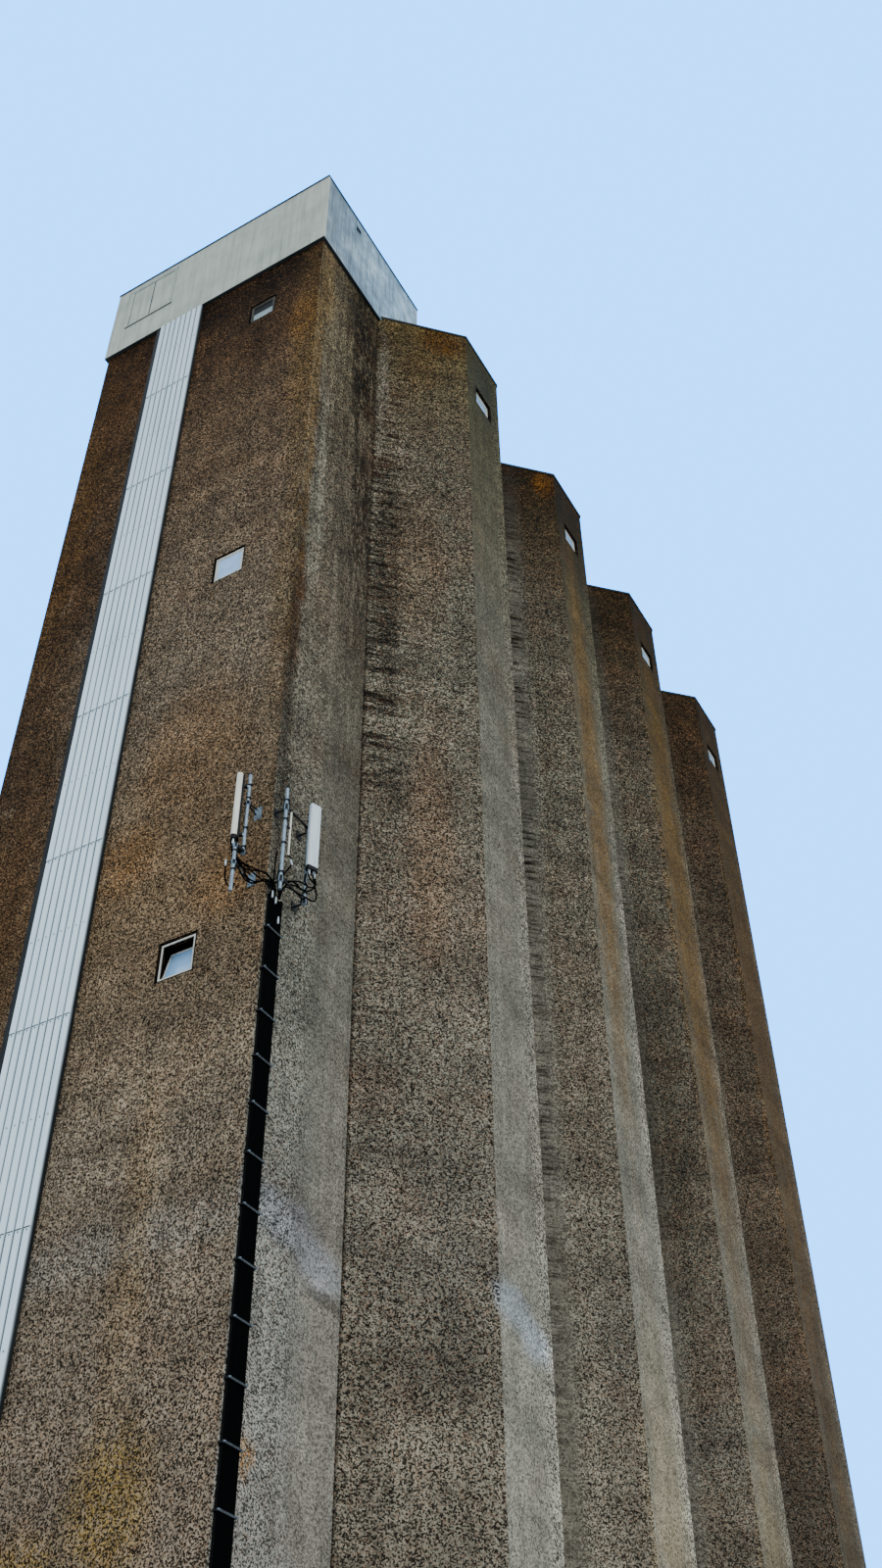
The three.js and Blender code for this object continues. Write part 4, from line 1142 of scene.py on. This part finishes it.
def buildFeeders():
    low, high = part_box("feeder_cables")
    radius = cableSet["radius"]
    pitch = (high.x - low.x - 2 * radius + 0.001) / (cableSet["count"] - 1)
    curve = startCables("feeders", radius - 0.0006)
    points = int((high.z - low.z) / cableSet["step"])
    for i in range(cableSet["count"]):
        spline = curve.splines.new("POLY")
        spline.points.add(points)
        top = feederTop(i) - 0.002
        for k, point in enumerate(spline.points):
            z = low.z + (top - low.z) * k / points
            sway = cableSet["sway"] * math.sin(z * 6.45 + i * 1.9) * math.sin(z * 1.3 + i)
            point.co = (low.x + radius + i * pitch + sway * 0.5, low.y + radius + 0.0005 + abs(sway), z, 1)
    finishCables("feeder_run", curve, ("feeder_cables",))


def buildClamps():
    low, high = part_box("feeder_cables")
    ladderLow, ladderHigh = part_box("cable_ladder")
    bolts, boots, plugs = bmesh.new(), bmesh.new(), bmesh.new()
    z, face = cableSet["firstClamp"], ladderLow.y
    while z > ladderLow.z + 0.05:
        for x in (ladderLow.x + 0.005, ladderHigh.x - 0.005):
            addRod(bolts, (x, face + 0.001, z), (x, face - 0.006, z), 0.0075, 6)
            addRod(bolts, (x, face - 0.005, z), (x, face - 0.014, z), 0.0038, 8)
        z -= cableSet["clampPitch"]
    radius = cableSet["radius"]
    pitch = (high.x - low.x - 2 * radius) / (cableSet["count"] - 1)
    for i in range(cableSet["count"]):
        x, y, top = low.x + radius + i * pitch, low.y + radius, feederTop(i)
        addRod(boots, (x, y, top - 0.06), (x, y, top - 0.012), radius + 0.0008, 12)
        addRod(boots, (x, y, top - 0.016), (x, y, top), 0.0085, 8)
    y = low.y - 0.002
    for x, z in cableSet["brightPlugs"]:
        addRod(plugs, (x, y, z - 0.03), (x, y, z + 0.03), cableSet["plug"], 12)
        addRod(plugs, (x, y, z + 0.028), (x, y, z + 0.05), 0.0075, 6)
    makePiece("clamp_bolts", bolts, zinc)
    makePiece("feeder_boots", boots, sheath, (), 0.6)
    makePiece("feeder_connectors", plugs, whiteShell, (), 0.6)


leadCorner = (-7, -2, 10)
leadRuns = {  # slack leads, from plug to feeders, in millimetres from that corner
    "left_outer": [(-410, 181, 700), (-400, 186, 622), (-390, 178, 539), (-380, 155, 474),
        (-370, 112, 439), (-360, 89, 486)],
    "left_first": [(-400, 127, 913), (-365, 111, 855), (-330, 81, 778), (-295, 51, 703), (-260, 34, 633),
        (-225, -5, 579), (-190, -65, 554), (-155, -118, 594), (-90, -160, 560)],
    "left_second": [(-400, 63, 859), (-357, 101, 818), (-314, 90, 756), (-271, 32, 699), (-229, -20, 695),
        (-186, -85, 686), (-143, -140, 656), (-60, -160, 540)],
    "left_third": [(-400, 132, 838), (-360, 130, 778), (-320, 94, 715), (-280, 67, 632), (-240, 31, 571),
        (-200, -25, 551), (-160, -76, 583), (-80, -150, 600)],
    "right_outer": [(330, -320, 918), (431, -300, 934), (482, -280, 902), (447, -260, 821),
        (358, -240, 754), (265, -220, 748), (175, -200, 718), (91, -180, 642), (58, -160, 540)],
    "right_inner": [(260, -310, 872), (281, -289, 807), (350, -267, 788), (300, -246, 723),
        (205, -224, 755), (134, -203, 738), (69, -181, 664), (40, -160, 540)],
    "rod": [(34, -235, 985), (115, -220, 1012), (143, -205, 961), (120, -190, 887), (95, -175, 837),
        (73, -160, 763), (50, -150, 540)],
    "behind_pipe": [(-30, -150, 1039), (-43, -147, 877), (-39, -145, 728), (-35, -143, 569),
        (13, -140, 480)],
    "beside_pipe": [(-18, -190, 876), (-16, -177, 719), (18, -163, 585), (67, -150, 476)],
}
leadPlugs = [  # centre and direction of the bright plugs on the leads
    ((-7.410, -1.817, 10.745), (0, 0, 1)), ((-6.59, -2.31, 10.95), (0.2, 0, 1)),
    ((-6.87, -2.212, 10.99), (0.5, 0, -1)),
]


def buildLeads():
    curve = startCables("leads", cableSet["lead"])
    for points in leadRuns.values():
        spline = curve.splines.new("BEZIER")
        spline.bezier_points.add(len(points) - 1)
        spline.resolution_u = 6
        for point, spot in zip(spline.bezier_points, points):
            point.co = [corner + part / 1000 for corner, part in zip(leadCorner, spot)]
            point.handle_left_type = point.handle_right_type = "AUTO"
    finishCables("slack_leads", curve)
    bm = bmesh.new()
    for centre, direction in leadPlugs:
        centre, reach = Vector(centre), Vector(direction).normalized() * 0.028
        addRod(bm, centre - reach, centre + reach, cableSet["plug"] + 0.001, 12)
        addRod(bm, centre + reach * 0.96, centre + reach * 1.5, 0.008, 6)
    makePiece("lead_plugs", bm, whiteShell, (), 0.6)


def buildFixings():
    caps, bolts, bands = bmesh.new(), bmesh.new(), bmesh.new()
    for out, y, top, straps in pipes.values():
        x = endFace + out
        if top:
            addRod(caps, (x, y, top - 0.018), (x, y, top + 0.003), fixingSet["cap"], 14)
        for z in straps:  # dark straps round the pipes, with a buckle each
            addRod(bands, (x, y, z - 0.008), (x, y, z + 0.008), fixingSet["band"], 16)
            addBlock(bands, (x - 0.012, y - 0.033, z - 0.01), (x + 0.012, y - 0.02, z + 0.01))
    roundEdges(caps, 0.003, 2)
    for below in fixingSet["plates"]:
        for z in (wallTop - below - 0.055, wallTop - below + 0.06):
            for y in (pipes["left"][1] - 0.032, pipes["left"][1] + 0.032):
                addRod(bolts, (endFace - 0.009, y, z), (endFace - 0.02, y, z), fixingSet["bolt"], 6)
                addRod(bolts, (endFace - 0.019, y, z), (endFace - 0.03, y, z), 0.004, 8)
    makePiece("pipe_caps", caps, blackCap, (), 0.6)
    makePiece("bracket_bolts", bolts, zinc)
    makePiece("pipe_straps", bands, blackCap, (), 0.6)


buildAerial("left_panel_aerial", creamShell)
buildAerial("right_panel_aerial", whiteShell)
buildFeeders()
buildClamps()
buildLeads()
buildFixings()
print("stage: aerials and cables")

print("stage: done")
